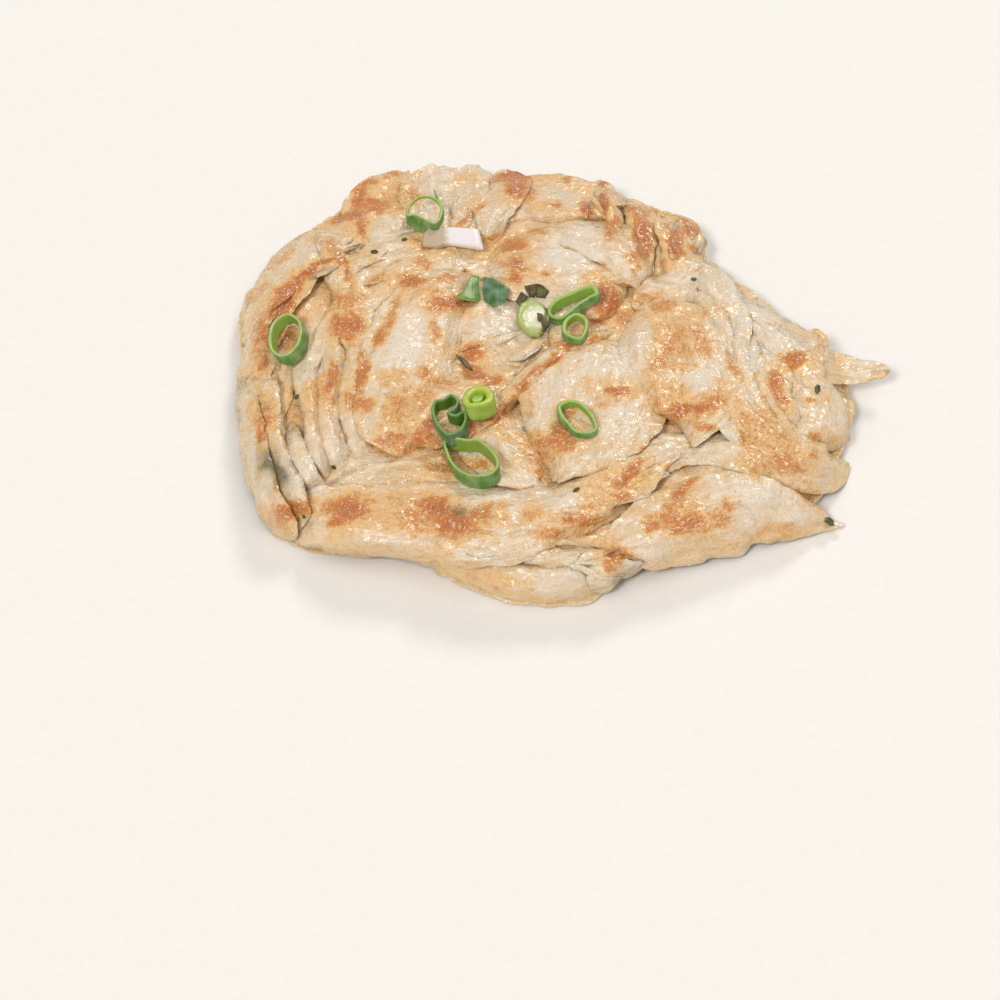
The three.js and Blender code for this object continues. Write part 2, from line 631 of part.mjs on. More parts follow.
// Turns a topping to the slope of the dough and lowers it on to it, CLEARANCE above the highest
// point that it meets.
function seat(made, [x, y], turn, bread) {
  const middle = sight(x, y, DRAWN_HEIGHT);
  const ray = new THREE.Raycaster(EYE, middle.clone().sub(EYE).normalize());
  let height = ray.intersectObject(bread)[0].point.z;
  const reach = 5;
  const place = sight(x, y, height);
  const side = (dx, dy) => heightAt(bread, place.x + dx, place.y + dy, false) ?? height;
  const slopeX = clamp((side(reach, 0) - side(-reach, 0)) / (2 * reach), -0.3, 0.3);
  const slopeY = clamp((side(0, reach) - side(0, -reach)) / (2 * reach), -0.3, 0.3);
  const normal = new THREE.Vector3(-slopeX, -slopeY, 1).normalize();
  made.geometry.rotateZ(THREE.MathUtils.degToRad(turn));
  made.geometry.applyQuaternion(
    new THREE.Quaternion().setFromUnitVectors(new THREE.Vector3(0, 0, 1), normal),
  );
  made.geometry.computeBoundingBox();
  const { min, max } = made.geometry.boundingBox;
  for (let round = 0; round < 3; round++) {
    const at = sight(x, y, height);
    made.position.copy(at);
    made.updateMatrixWorld();
    let gap = Infinity;
    for (let px = min.x; px <= max.x; px += 0.6) {
      for (let py = min.y; py <= max.y; py += 0.6) {
        const under = heightAt(made, at.x + px, at.y + py, true);
        if (under === undefined) continue;
        gap = Math.min(gap, under - (heightAt(bread, at.x + px, at.y + py, false) ?? 0));
      }
    }
    height += CLEARANCE - gap;
  }
  made.geometry.translate(...sight(x, y, height).toArray());
  made.position.set(0, 0, 0);
  made.updateMatrixWorld();
  return made;
}

const object = new THREE.Group();
const bread = mesh("bread", fromSolid(breadSolid()), 0xe6d2ac, 0.55);
object.add(bread);
for (const { name, at, turn, color, ...shape } of RINGS) {
  object.add(seat(mesh(name, ringGeometry(shape), color, 0.35), at, turn, bread));
}
for (const { name, at, turn, color, ...shape } of SLICES) {
  object.add(seat(mesh(name, sliceGeometry(shape), color, 0.4), at, turn, bread));
}

// The origin is on the ground, in the middle of the plan.
const box = new THREE.Box3().setFromObject(object);
const middle = box.getCenter(new THREE.Vector3());
for (const made of object.children) made.geometry.translate(-middle.x, -middle.y, -box.min.z);

export default object;
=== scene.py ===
import math

import bpy
import numpy as np
from mathutils import Matrix, Vector
from mathutils.bvhtree import BVHTree


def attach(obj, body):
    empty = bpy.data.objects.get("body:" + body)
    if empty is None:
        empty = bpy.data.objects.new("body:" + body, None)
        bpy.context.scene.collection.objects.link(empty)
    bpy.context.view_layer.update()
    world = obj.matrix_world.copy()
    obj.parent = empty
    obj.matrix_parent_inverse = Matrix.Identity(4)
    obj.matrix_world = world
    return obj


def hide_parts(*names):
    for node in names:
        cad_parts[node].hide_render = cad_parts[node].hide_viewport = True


# A round, pan-fried flatbread of many thin dough layers. It was rolled with oil between its layers,
# griddled on both sides and then scrunched loose, so its sheets lie over each other in folds, browned
# where they touched the pan, and pale or glassy in the hollows. Cut scallion and onion lie on it.
#
# The bread is a pile of sheets laid one after another on a dense core. The shapes are drawn in
# millimetres on a level plane at DRAWN_HEIGHT, as they are seen from EYE, and each point slides along
# its line of sight to its own height.

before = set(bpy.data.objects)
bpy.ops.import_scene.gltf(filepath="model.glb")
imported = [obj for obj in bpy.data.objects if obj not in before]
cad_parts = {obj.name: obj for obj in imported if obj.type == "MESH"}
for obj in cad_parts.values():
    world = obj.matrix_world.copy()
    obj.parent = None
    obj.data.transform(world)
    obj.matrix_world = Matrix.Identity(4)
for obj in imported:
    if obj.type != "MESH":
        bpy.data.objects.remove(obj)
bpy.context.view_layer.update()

MM = 0.001
DRAWN_HEIGHT = 18.0
EYE = np.array([-12.4, -382.5, 408.8])
PLAN_MIDDLE = np.array([6.297, 19.113, 0.0])  # the frame's origin, in the drawing's millimetres

# The photograph's view, in degrees and millimetres
CAMERA_ELEVATION = 49.2
CAMERA_ROLL = 2.3
CAMERA_LENS = 70
CAMERA_DISTANCE = 540
CAMERA_TARGET = np.array([-12.4, -29.7, 0.0])

# The core, and the layers that show one above another in its side
CORE_HEIGHT = 11.5
CORE_SWELL = 1.6
FRONT_RIM = 1.5
BACK_RIM = 8.0
RIM_RISE = 6.5
FOOT_INSET = 5.0
CORE_MIDDLE = np.array([0.0, 4.0])
CORE_OUTLINE = [
    (80, -6), (69, 19), (51, 44), (43, 60), (20, 77), (-16, 84), (-46, 78), (-66, 60), (-80, 38),
    (-82, 4), (-78, -34), (-58, -54), (-30, -64), (0, -76), (26, -69), (50, -62), (68, -54), (78, -34),
]
SIDE_LAYERS = [
    dict(start=0.9, end=1.12, level=3.5, reach=2.5),
    dict(start=0.04, end=0.3, level=4.5, reach=4),
    dict(start=0.22, end=0.47, level=3, reach=3.2),
    dict(start=0.38, end=0.56, level=4.6, reach=3),
    dict(start=0.07, end=0.21, level=7.2, reach=4.6),
    dict(start=0.18, end=0.37, level=6.8, reach=5),
    dict(start=0.33, end=0.47, level=7.4, reach=4.4),
]

# Where thin flakes came loose: x, y, half length, half width, heading in degrees, how many, and size
FLAKES = [
    (-45, 53, 20, 11, 20, 8, 13), (-21, 64, 9, 5, 80, 3, 12),
    (24, 66, 14, 8, 100, 5, 12), (66, -2, 22, 9, 112, 9, 17),
    (0, -63, 22, 4, -12, 8, 15), (20, -42, 20, 5, 30, 8, 17), (-6, 10, 9, 8, 40, 3, 12),
    (45, 50, 9, 6, 90, 4, 10), (-76, 30, 18, 5, 70, 4, 13),
]

# A sheet of dough
SHEET = 0.75  # its thickness at a free edge
FREE_EDGE = 6.0  # the stretch next to that edge that doesn't lie on the dough below
CURL_REACH = 3.2
TUCK_REACH = 6.0
END_REACH = 11.0
WRINKLE = 0.5
PAN_LEVEL = 21.0
PAN_SOFTNESS = 6.0
SPACING = 0.84  # between neighbouring points of its mesh
LIP = 0.3  # the share of its thickness by which a free edge is rounded off above and below
LIP_REACH = 1.2
CRISP_ANGLE = 66  # edges that bend more than this, in degrees, are not smoothed over
NO_EDGE = 99.0  # noted as the distance where no free edge is near
LAYER_STEP = 0.45  # the thickness of a layer that ends behind a free edge
LAYER_APART = 4.4  # between the ends of such layers
LOOSE_SHEET = 0.4  # the thickness of a flake
TORN_COUNT = 46
TORN_LENGTH = 34.0

# Unevenness of a sheet: how much, how long and how wide its bumps are, and their seed
TORN_SIDE = [(1.1, 9, 1, 50), (0.7, 3, 1, 90)]
TORN_END = [(1.6, 5, 1, 70), (0.8, 1.8, 1, 71)]
PLEATS = [(0.75, 22, 4.5, 11), (0.35, 9, 2.2, 12)]
LAYER_ENDS = [(3, 10, 7, 21), (1.4, 3.5, 2.6, 22)]
# Unevenness of the fried skin: how high, how far apart, and its seed
SKIN_LUMPS = [(0.22, 6.5, 42), (0.19, 2.3, 43), (0.1, 1.3, 44)]
BLISTER_HEIGHT = 0.4
BLISTERS_APART = 4.6

# Browning around a mark: how far it fades out, and how strong it starts there
HALO = 5.0
HALO_STRENGTH = 0.27

# The pile's height is kept on cells of 1 mm over the drawing.
GRID_LOW = np.array([-110.0, -105.0])
GRID_ROWS, GRID_COLUMNS = 220, 230

# The folds, the lowest first. path: stations (x, y, half width); crown: how far the middle stands
# above the edges; lift: how far the left and the right edge curl up, or under 0 how far they sink into
# the pile; ends: the same for the two ends; hold: the height under which stiffness keeps the dough;
# taper and tip: how much and how far an end narrows; torn: how ragged its edges are.
FOLDS = [
    # the rim at the back
    dict(
        path=[(-43, 52, 7), (-46, 66, 12), (-43, 79, 12), (-38, 92, 8)],
        crown=2, lift=(1.2, -1), ends=(-1.5, 0.6), hold=9,
    ),
    dict(
        path=[(-22, 54, 9), (-22, 68, 14), (-23, 81, 16), (-22, 93, 13)],
        crown=1, lift=(0.5, -1), ends=(-1.5, 0.4), hold=9, taper=0.4,
    ),
    dict(
        path=[(-8, 72, 6), (3, 75, 12), (14, 74, 11.5), (24, 70, 8.5), (32, 62, 4)],
        crown=1.5, lift=(0.8, -1.5), hold=9,
    ),
    dict(
        path=[(-13, 54, 3), (-11, 68, 5), (-6, 79, 6), (-4, 90, 6)],
        crown=1.5, lift=(0.4, 0.6), ends=(-1, 0.4), hold=10,
    ),
    dict(
        path=[(20, 52, 2.5), (25, 63, 3.5), (24, 75, 3), (22, 84, 2)],
        crown=1.6, lift=(-0.5, 0.8), ends=(-1, 0.6), hold=9,
    ),
    dict(
        path=[(34, 35, 3), (38, 48, 3), (38, 59, 2.6), (36, 69, 2)],
        crown=1.2, lift=(-0.6, 0.3), hold=9,
    ),
    dict(
        path=[(28, 38, 3), (32, 50, 4.8), (34, 62, 5), (31, 74, 3.5)],
        crown=2, lift=(-0.4, 1), ends=(-1, 0.5), hold=9,
    ),
    dict(
        path=[(44, 35, 5), (44.5, 47, 6.6), (44, 58, 6.8), (39.5, 66, 4.6)],
        crown=2.5, lift=(1.2, 0.6), ends=(-1, 0.3), hold=8,
    ),
    dict(path=[(33, 32, 4), (41, 35, 6.5), (50, 42, 5)], crown=0.6, lift=(-1, 1), hold=8),
    # the left side
    dict(
        path=[(-77, -4, 7), (-75, 18, 9), (-71, 38, 11), (-61, 55, 11), (-50, 63, 7)],
        crown=1, lift=(-1, 0), hold=6,
    ),
    dict(path=[(-64, 4, 6), (-64, 20, 7), (-63, 36, 7), (-60, 50, 5)], crown=0.4, lift=(-1, -1), hold=8),
    dict(
        path=[
            (-82, -2, 4.5), (-79, 16, 5.6), (-77, 32, 7.6), (-72, 46, 8.6), (-64, 58, 7.4),
            (-53, 66, 4),
        ],
        crown=2, lift=(0, 2.2), hold=5,
    ),
    dict(
        path=[(-52, 18, 4), (-54, 34, 5), (-57, 47, 5), (-60, 58, 4.5), (-63, 68, 2.5)],
        crown=2.2, lift=(1.2, -1),
    ),
    dict(path=[(-64, 3, 3), (-60, 16, 5), (-56, 27, 6), (-52, 39, 4)], crown=1.6, lift=(1.2, -1)),
    # the middle, behind
    dict(path=[(-47, 8, 9), (-46, 28, 11), (-43, 45, 11), (-36, 62, 8)], crown=1, lift=(0.4, -1)),
    dict(path=[(-53, 46, 5), (-42, 55, 7), (-30, 55, 8), (-16, 46, 6)], crown=0.8, lift=(0.5, 0.6)),
    dict(path=[(-47, 38, 5), (-36, 45, 6.5), (-27, 48, 6), (-18, 56, 4)], crown=1, lift=(0.6, 0.7)),
    dict(path=[(-26, 33, 7), (-13, 22, 12), (-4, 10, 11), (1, -1, 4)], crown=0.3, lift=(-1, -1)),
    dict(path=[(26, 36, 5), (38, 33, 7), (51, 30, 5)], crown=0.6, lift=(-1, 0.6)),
    dict(
        path=[(-16, 48, 8), (-5, 46, 15), (9, 45, 19), (21, 43, 16), (33, 38, 8)],
        crown=3.4, lift=(-1.5, 0.8),
    ),
    dict(path=[(4, 62, 4), (16, 58, 7), (27, 49, 7.5), (32, 34, 4)], crown=1.6, lift=(-1, 1)),
    dict(path=[(16, 19, 4), (20, 29, 6), (22, 40, 4.5)], crown=1.4, lift=(0.5, -1)),
    # the right side
    dict(
        path=[(50, 40, 6), (58, 22, 10), (66, 2, 13), (69, -18, 13.5), (70, -38, 8)],
        crown=1, lift=(0.2, -1), hold=5,
    ),
    dict(
        path=[(54, 31, 4.5), (62, 20, 6.2), (71, 8, 8), (77, -7, 8), (79, -20, 6.4), (77, -33, 4)],
        crown=1.6, lift=(0.6, -1), hold=5,
    ),
    dict(
        path=[(66, 6, 7), (77, 1, 7), (87, -2.7, 5.4), (93, -2.9, 3.8), (98, -3, 3)],
        crown=0.8, lift=(0.6, 0.6), ends=(-1.5, 0.8), hold=8, taper=0.9, tip=3, torn=0.3,
    ),
    dict(
        path=[(74, -1, 3), (78, 7, 3.6), (80, 15, 3)],
        crown=0.4, lift=(0.8, 1.2), ends=(-1, 1.4), hold=9,
    ),
    dict(
        path=[(49, 46, 3.4), (54, 33, 5.6), (55, 20, 6.4), (54, 6, 6), (52, -10, 3)],
        crown=1.4, lift=(0.8, -1), hold=7,
    ),
    dict(path=[(66, 20, 3), (68, 10, 5), (69, -2, 5.5), (69, -14, 3)], crown=1.4, lift=(0.8, -0.6)),
    dict(path=[(46, 32, 3), (51, 20, 5), (51, 8, 4.5), (50, -7, 3)], crown=1.2, lift=(0.9, -1)),
    dict(path=[(72, -4, 5), (77, -18, 7), (76, -33, 5.6)], crown=1.2, lift=(0.4, 0.6), hold=5),
    dict(path=[(70, 9, 3), (74, 0, 5), (77, -9, 3)], crown=1.4, lift=(0.8, -0.8)),
    dict(
        path=[(61, 14, 1.8), (61, -2, 2.6), (64, -15, 2.6), (69, -30, 2)],
        torn=0.5, crown=1.2, lift=(0.8, -0.4),
    ),
    dict(path=[(57, 18, 2), (57, 0, 3), (59, -13, 3), (65, -29, 2)], torn=0.5, crown=1.3, lift=(0.9, -0.4)),
    dict(path=[(66, 2, 2), (66, -8, 3.4), (67, -20, 2)], crown=1.4, lift=(0.7, -0.4)),
    dict(
        path=[(52, 8, 4), (54, -12, 6.5), (58, -25, 9), (66, -35, 10), (75, -39, 9), (82, -38, 4)],
        torn=0.6, crown=3, lift=(-1, 1.2), hold=2,
    ),
    # the ribs at the left
    dict(
        path=[(-50, 19, 3.4), (-51, 6, 4.6), (-52, -7, 4.6), (-50, -19, 4.4), (-46, -31, 4)],
        torn=0.4, crown=1.8, lift=(-1, 1),
    ),
    dict(
        path=[(-57, 19, 2.6), (-58.5, 5, 3.6), (-59, -7, 3.4), (-58, -20, 3.8), (-54, -35, 4)],
        torn=0.4, crown=1.8, lift=(-0.8, 1.2),
    ),
    dict(
        path=[(-66, 12, 4), (-65, -1, 3.6), (-64, -12, 2.6), (-62, -24, 2.8), (-59, -38, 4)],
        torn=0.4, crown=2, lift=(-0.6, 1.4),
    ),
    dict(
        path=[(-69, -14, 2), (-67.5, -24, 3.2), (-65, -34, 4.2), (-61, -43, 4)],
        torn=0.6, crown=1.4, lift=(0.6, 0.8),
    ),
    # the front
    dict(
        path=[(-59, -38, 2), (-50, -36, 5), (-39, -35, 6), (-26, -35.5, 6.4), (-6, -38, 6)],
        torn=0.4, crown=0.2, lift=(0.7, -1), ends=(0.2, -1.5),
    ),
    dict(path=[(-14, -66, 4), (0, -64, 7), (12, -61, 6.5), (25, -54, 5)], crown=-0.4, lift=(-1, -1)),
    dict(
        path=[
            (-72, -48, 4), (-60, -54.5, 7), (-45, -55, 6.5), (-30, -60.5, 7.5), (-14, -70, 8),
            (2, -73.5, 8.4), (15, -73, 6.5),
        ],
        crown=1.8, lift=(-0.8, -0.6), hold=0.8,
    ),
    dict(path=[(18, -52, 5), (34, -44, 6.4), (48, -38, 7), (64, -42, 4)], crown=0.8, lift=(0.8, -0.8)),
    dict(path=[(25, -34, 4), (40, -30, 5.4), (52, -32, 6), (63, -41, 4)], crown=0.8, lift=(-1, 1.2)),
    dict(
        path=[
            (-70, -48, 9), (-60, -49, 11), (-44, -51, 12), (-24, -51.5, 13.5), (-6, -52, 12.5),
            (8, -48, 10), (20, -39, 9), (31, -31, 7), (44, -25, 4),
        ],
        crown=3.2, lift=(0.9, -0.4), hold=1, taper=0.4,
    ),
    # the corner at the front left
    dict(
        path=[
            (-79, 8, 5), (-77.5, -6, 5), (-75, -19, 4.4), (-72, -32, 4.6), (-68.5, -43, 5),
            (-66, -53, 4),
        ],
        torn=0.6, crown=2, lift=(1.1, -0.5), hold=2,
    ),
    dict(
        path=[
            (-83, 4, 3), (-81.2, -9, 3.4), (-78.8, -22, 3.6), (-76.4, -35, 4), (-72.4, -46, 4),
            (-67, -56, 3),
        ],
        torn=0.6, crown=1.4, lift=(0.7, -0.5), hold=1.5,
    ),
    dict(path=[(-36, -56, 3), (-22, -61, 6.5), (-8, -60, 6), (4, -55, 4)], crown=1, lift=(-1, 0.8)),
    dict(path=[(-8, -51, 3), (8, -45, 5.5), (20, -37, 6), (32, -28, 3.4)], crown=1.4, lift=(-0.8, 0.9)),
    dict(
        path=[(14, -67, 6), (24, -61, 10.5), (36, -56, 14), (50, -52, 14), (62, -54, 9), (76, -59, 3)],
        crown=3.6, lift=(1.2, 0.3), ends=(-0.8, 0.8), hold=1,
    ),
    dict(path=[(10, -77, 3.4), (15, -70, 4.4), (17, -62, 3)], crown=0.2, lift=(0.4, -0.4)),
    # the great folds in the middle
    dict(path=[(-18, -4, 5), (-16, -18, 10), (-9, -30, 11), (1, -40, 5)], crown=1.6, lift=(-1, 0.8)),
    dict(
        path=[(-17, 44, 5), (-29, 35, 11), (-35, 18, 14), (-37, 2, 14), (-39, -14, 12), (-38, -29, 7)],
        crown=3.2, lift=(-1, 1), ends=(-1, 0.8),
    ),
    dict(path=[(-42, -22, 7), (-29, -14, 12), (-15, -4, 9.5), (-1, 6, 4)], crown=2, lift=(-1, 1.5)),
    dict(
        path=[(19, 14, 12), (16, 2, 19), (14, -12, 21), (9, -26, 15), (3, -39, 5)],
        crown=3.4, lift=(1.2, -0.8), ends=(0.9, 0.9),
    ),
    dict(
        path=[(-13, -14, 2.5), (-4, -1, 3.4), (4, 8, 3.4), (13, 13, 3), (24, 17, 2)],
        crown=1, lift=(0.9, -1),
    ),
    dict(
        path=[(31, 29, 8), (37, 18, 14.5), (39, 5, 15.5), (42, -8, 14), (43, -18, 10), (41, -27, 3.5)],
        crown=3, lift=(0.9, -0.6), ends=(0.4, 0.9),
    ),
    dict(path=[(49, -18, 2), (52, -26, 2), (54, -35, 1)], crown=0.6, lift=(0.6, 0.6)),
]

# Where the bread is browned, pale, glassy or stained by leaves on the drawing, and a few painted shades:
# x, y, half length, half width, heading in degrees, strength.
BROWNED = [
    # the left window and its folds
    (-82, 39, 5, 2.5, 60, 0.6), (-75, 55, 8, 3, 65, 0.5), (-74, 36, 5, 3.5, 60, 0.9),
    (-70, 41, 4.5, 2.5, 60, 1), (-66.5, 46.5, 4, 1.2, 50, 1), (-62, 51.5, 4, 1, 20, 0.9),
    (-74, 33, 6, 4, 70, 0.9), (-79, 22, 9, 3, 90, 0.65), (-78, 10, 5, 2.5, -60, 0.6),
    (-72, 20, 6, 4, 90, 0.7), (-61, 58, 5, 2.5, -70, 0.55), (-57, 53, 5, 1.5, -60, 0.7),
    (-54, 45, 6, 1.5, -80, 0.6), (-56, 34, 6, 4, 0, 0.6), (-54, 24, 6, 4, 80, 0.85),
    (-68, 66, 6, 1.2, 40, 0.7), (-64, 63, 3, 2, 0, 0.5), (-83, 3, 5, 2.5, 20, 0.55),
    # the back rim
    (-55, 71, 5, 2.2, 15, 0.9), (-51, 66, 6, 2, -75, 0.7), (-52, 80, 8, 3, 90, 0.75),
    (-50, 86, 3.5, 1.5, 20, 0.8), (-47, 75, 5, 4, 0, 0.7), (-40, 78, 8, 5, 90, 0.45),
    (-42, 90, 6, 3, 0, 0.5), (-36, 79, 4, 2.5, 90, 0.6), (-34, 93, 3, 1.5, 0, 0.4),
    (-34, 58, 2, 2, 0, 0.5), (-19, 68, 8, 1.8, 55, 0.65), (-5, 87, 6, 2.5, 0, 1),
    (-3, 83, 5, 3.5, 90, 0.95), (-1, 79, 4, 3, 90, 0.7), (-9, 87, 3, 2, 0, 0.8),
    (8, 73, 3.5, 1.5, -10, 0.65), (18, 70.5, 3.5, 2.5, 90, 0.75), (23, 74, 6, 1.4, 85, 0.85),
    (24, 81, 2.5, 1.5, -40, 0.8), (25, 61, 5.5, 2.6, 80, 0.75), (13, 85, 3, 1.2, 90, 0.55),
    (17, 80, 3, 2, 0, 0.35), (34, 68, 3, 3, 0, 0.8), (33.5, 58, 7, 3.2, 92, 1),
    (33, 50, 4, 3, 80, 0.95), (30, 47, 2.5, 2, 0, 0.6), (31, 42, 3, 1.2, 60, 0.5),
    (31, 72, 3, 1.5, -60, 0.75), (38, 68, 4, 1.2, -15, 0.8), (47, 58, 4.5, 2.2, -10, 1),
    (43, 52, 5, 2.6, 85, 0.9), (49, 49, 4, 2, -75, 0.75), (41, 61, 4, 1.2, -60, 0.6),
    # (38.5, 43) is no browning but a painted shadow, a tan shade.
    (46, 63, 3.5, 1.5, -45, 0.7), (38.5, 43, 3.5, 2.2, 70, 0.5), (42, 67, 3, 1.6, -20, 0.8),
    (50, 61, 3, 1.5, -40, 0.6), (-80, 50, 4, 1.2, 60, 0.5), (-72, 62, 3, 1.2, 45, 0.5),
    # the pillow and the ribs
    (-5, 55, 5, 3, 10, 0.85), (-5, 47, 4, 3.5, 90, 0.7), (-6, 41, 3, 2, 90, 0.8),
    (3, 42.5, 1.5, 1.2, 0, 0.7), (0, 60, 5, 0.8, 25, 0.6), (-30, 55, 3, 1.6, 15, 0.8),
    (-36, 42, 4, 3.4, -15, 0.85), (-33, 50, 3, 2, -60, 0.5), (-47, 42, 4, 2, 45, 0.5),
    (-27, 42, 6, 1.8, 5, 0.55), (-28, 36, 7, 5, 0, 0.35), (-25, 31, 6, 3.5, -10, 0.8),
    (-22, 27, 4, 2, 0, 0.5), (-40, 32, 6, 1.6, 65, 0.6), (-42, 26, 5, 1.4, 70, 0.6),
    (-44.5, 20, 5, 2, 80, 0.6), (-29, 20, 5, 2, 90, 0.45), (-19, 10, 4, 3.5, 0, 0.75),
    (-50, 4, 8, 2, 88, 0.75), (-59, 2, 7, 2, 85, 0.75), (-32, 4, 3.5, 2.4, 90, 0.6),
    (-40, 2, 6, 4, 0, 0.35), (-40, -10, 9, 5, 80, 0.45), (-41, -22, 5, 4, 0, 0.6),
    (-33, -8, 8, 4, 90, 0.4), (-34, -24, 6, 3, 25, 0.75), (-31, -18, 5, 3, 60, 0.75),
    (-28, -1, 4, 3, 0, 0.55), (-24, -1, 4, 2, 90, 0.4), (-78, -8, 5, 4, 90, 0.4),
    (-77, -15, 6, 1.6, -80, 0.65), (-77, -20, 3, 1, -80, 0.7), (-50, -9, 3.5, 3, 0, 0.65),
    (-52, -6, 2.5, 2, 0, 0.6), (-58, -5, 3, 1.6, 90, 0.6),
    # the middle and its wedge
    (21, 30, 8, 4.5, 88, 0.95), (17, 21, 3.5, 1.5, 10, 0.8), (25, 22, 5, 1.5, 60, 0.75),
    (28, 25, 3, 1.5, 50, 0.6), (22, 36, 3.5, 2.5, 0, 0.6), (33, 31, 4, 1.5, 15, 0.6),
    (37, 27, 4, 3, 0, 0.55), (31, 24, 5, 4, 0, 0.3), (38, 12, 8, 5, 90, 0.45),
    (36, 9, 3, 2.5, 0, 0.65), (46, 12, 7, 2.5, -75, 0.55), (43, 8, 3, 2, 0, 0.4),
    (4, 6, 4, 1.6, 35, 0.85), (10, 12, 4, 1.8, 45, 0.9), (15, 14, 3.5, 1, 10, 0.7),
    (6, 13.5, 4.5, 1.5, 15, 0.6), (34, 4, 3.5, 3, 0, 0.6), (33, 1, 4, 3, 0, 0.4),
    (40, 2, 6, 4, 0, 0.3), (49.3, 23.5, 0.7, 0.7, 0, 0.8), (-16, 2, 4, 1.5, -45, 0.9),
    (-20, 5, 3, 1.2, -50, 0.8), (-11, -1, 3, 1, -10, 0.6), (-1, 2, 3.5, 1.3, 45, 0.85),
    (-4, -3, 3, 1.2, 55, 0.8), (-7, -7, 2, 1.2, 60, 0.6), (-10, -13, 4, 2.5, 30, 0.85),
    (-13, -16, 3, 1.5, 0, 0.6), (-22, -21, 6, 2.5, 25, 0.8), (-26, -30, 6, 1.2, -10, 0.6),
    (-29, -25, 4, 2, 0, 0.5), (-28, -33, 5, 1.6, -15, 0.55), (-18, -32, 5, 2.5, 0, 0.6),
    (-8, -22, 6, 2, 0, 0.35), (0, -26, 6, 4, -60, 0.55), (-3, -30, 6, 3, -65, 0.55),
    (-1, -36, 5, 1.5, -60, 0.5), (5, -24, 5.5, 4.5, 90, 0.75), (8, -14, 4, 3, 0, 0.55),
    (0, -30, 4, 3, 90, 0.55), (21, -7, 4, 2.2, -15, 0.75), (17, -12, 3, 2, 0, 0.4),
    (25, -10, 2, 1.5, 0, 0.4), (22, -38, 7, 2.2, 60, 0.85), (18, -42, 3, 2, 90, 0.6),
    (20, -47, 2.5, 2, 0, 0.7), (26, -33, 3, 1.5, 60, 0.5),
    # the right side
    (72, 2, 3.5, 3.5, 0, 0.8), (80, 8, 3, 1, 80, 0.7), (82, 8, 3, 0.8, -20, 0.7),
    (40, -15, 7, 2.5, 5, 0.8), (38, -18, 5, 2, 10, 0.75), (47, -13, 4, 3, 0, 0.6),
    (43, -22, 4, 2, -20, 0.55), (33, -12, 2.5, 1.5, -50, 0.5), (57, -20, 8, 5, 90, 0.4),
    (56, -28, 5, 3, -70, 0.5), (64, -35, 6, 3.5, -30, 0.6), (66, -38, 5, 3, 0, 0.55),
    (73, -32, 2, 2, 0, 0.6), (79, -32, 3, 1.5, 90, 0.55), (74, -27, 2.5, 1.2, 90, 0.6),
    (75, -13, 1.5, 1.5, 0, 0.6), (66, -6, 4, 2.2, 85, 0.8), (67, -11, 3, 2, 90, 0.75),
    (55, 0, 6, 1.5, -80, 0.5), (69, -48, 3.5, 1.2, -40, 0.7), (73, -52, 3, 1.5, -35, 0.6),
    (81, -38, 4, 0.6, 85, 0.7),
    # the pocket's rim and the corner
    (-13, -1, 4, 2, -20, 0.9), (-19, 4, 2.5, 2.5, 0, 1), (5, 9, 3.5, 1.5, 40, 0.7),
    # (-69, -10) darkens the hollow of the window at the left: painted shade.
    (-70, -49, 3, 3, 0, 0.8), (-69, -10, 6, 2.2, 100, 0.5),
    # the front
    (-72, -36, 5, 1.5, -60, 0.45), (-68, -46, 5, 4, 0, 0.8), (-69, -53, 3, 3, 0, 0.6),
    (-62, -43, 2.5, 2, 0, 0.45), (-53, -46, 6, 4, 0, 0.85), (-57, -50, 2.5, 2, 0, 0.7),
    (-50, -42, 3, 3, 0, 0.5),
    (-30, -47, 6, 4, -20, 0.85), (-35, -51, 5, 3, 0, 0.6), (-25, -53, 7, 4.5, -15, 0.85),
    (-18, -50, 4, 4, 0, 0.6), (-20, -56, 5, 2, 0, 0.55), (-12, -50, 4, 3, 90, 0.4),
    (-40, -46, 5, 4, 90, 0.4), (5, -53, 2, 1, 0, 1), (9, -53, 6, 2.5, 10, 0.6),
    (0, -57, 5, 2, 0, 0.55), (12, -48, 5, 1, 0, 0.5), (-4, -50, 3, 2, 90, 0.4),
    (9, -57, 4, 2, 0, 0.45), (35, -45, 4, 2.5, 60, 0.8), (38, -42, 4, 1.2, 20, 0.7),
    (32, -50, 3, 3, 0, 0.65), (35, -56, 7, 4, 0, 0.8), (26, -56, 2.5, 2.5, 0, 0.7),
    (44, -55, 4, 3, 0, 0.5), (47, -51, 2.5, 2, 0, 0.6), (30, -52, 4, 2, 0, 0.6),
    (39, -60, 4, 2, 0, 0.4), (17, -66, 3.5, 2.5, 90, 0.75), (15.5, -70, 2, 1.5, 90, 0.6),
    (65, -62.5, 8, 0.9, 3, 0.95), (-55, -63, 12, 1, -3, 0.8), (-28, -69, 8, 1, -15, 0.8),
    (-15, -76, 8, 1, -30, 0.8), (-72, -56, 3, 1.2, -40, 0.7),
]
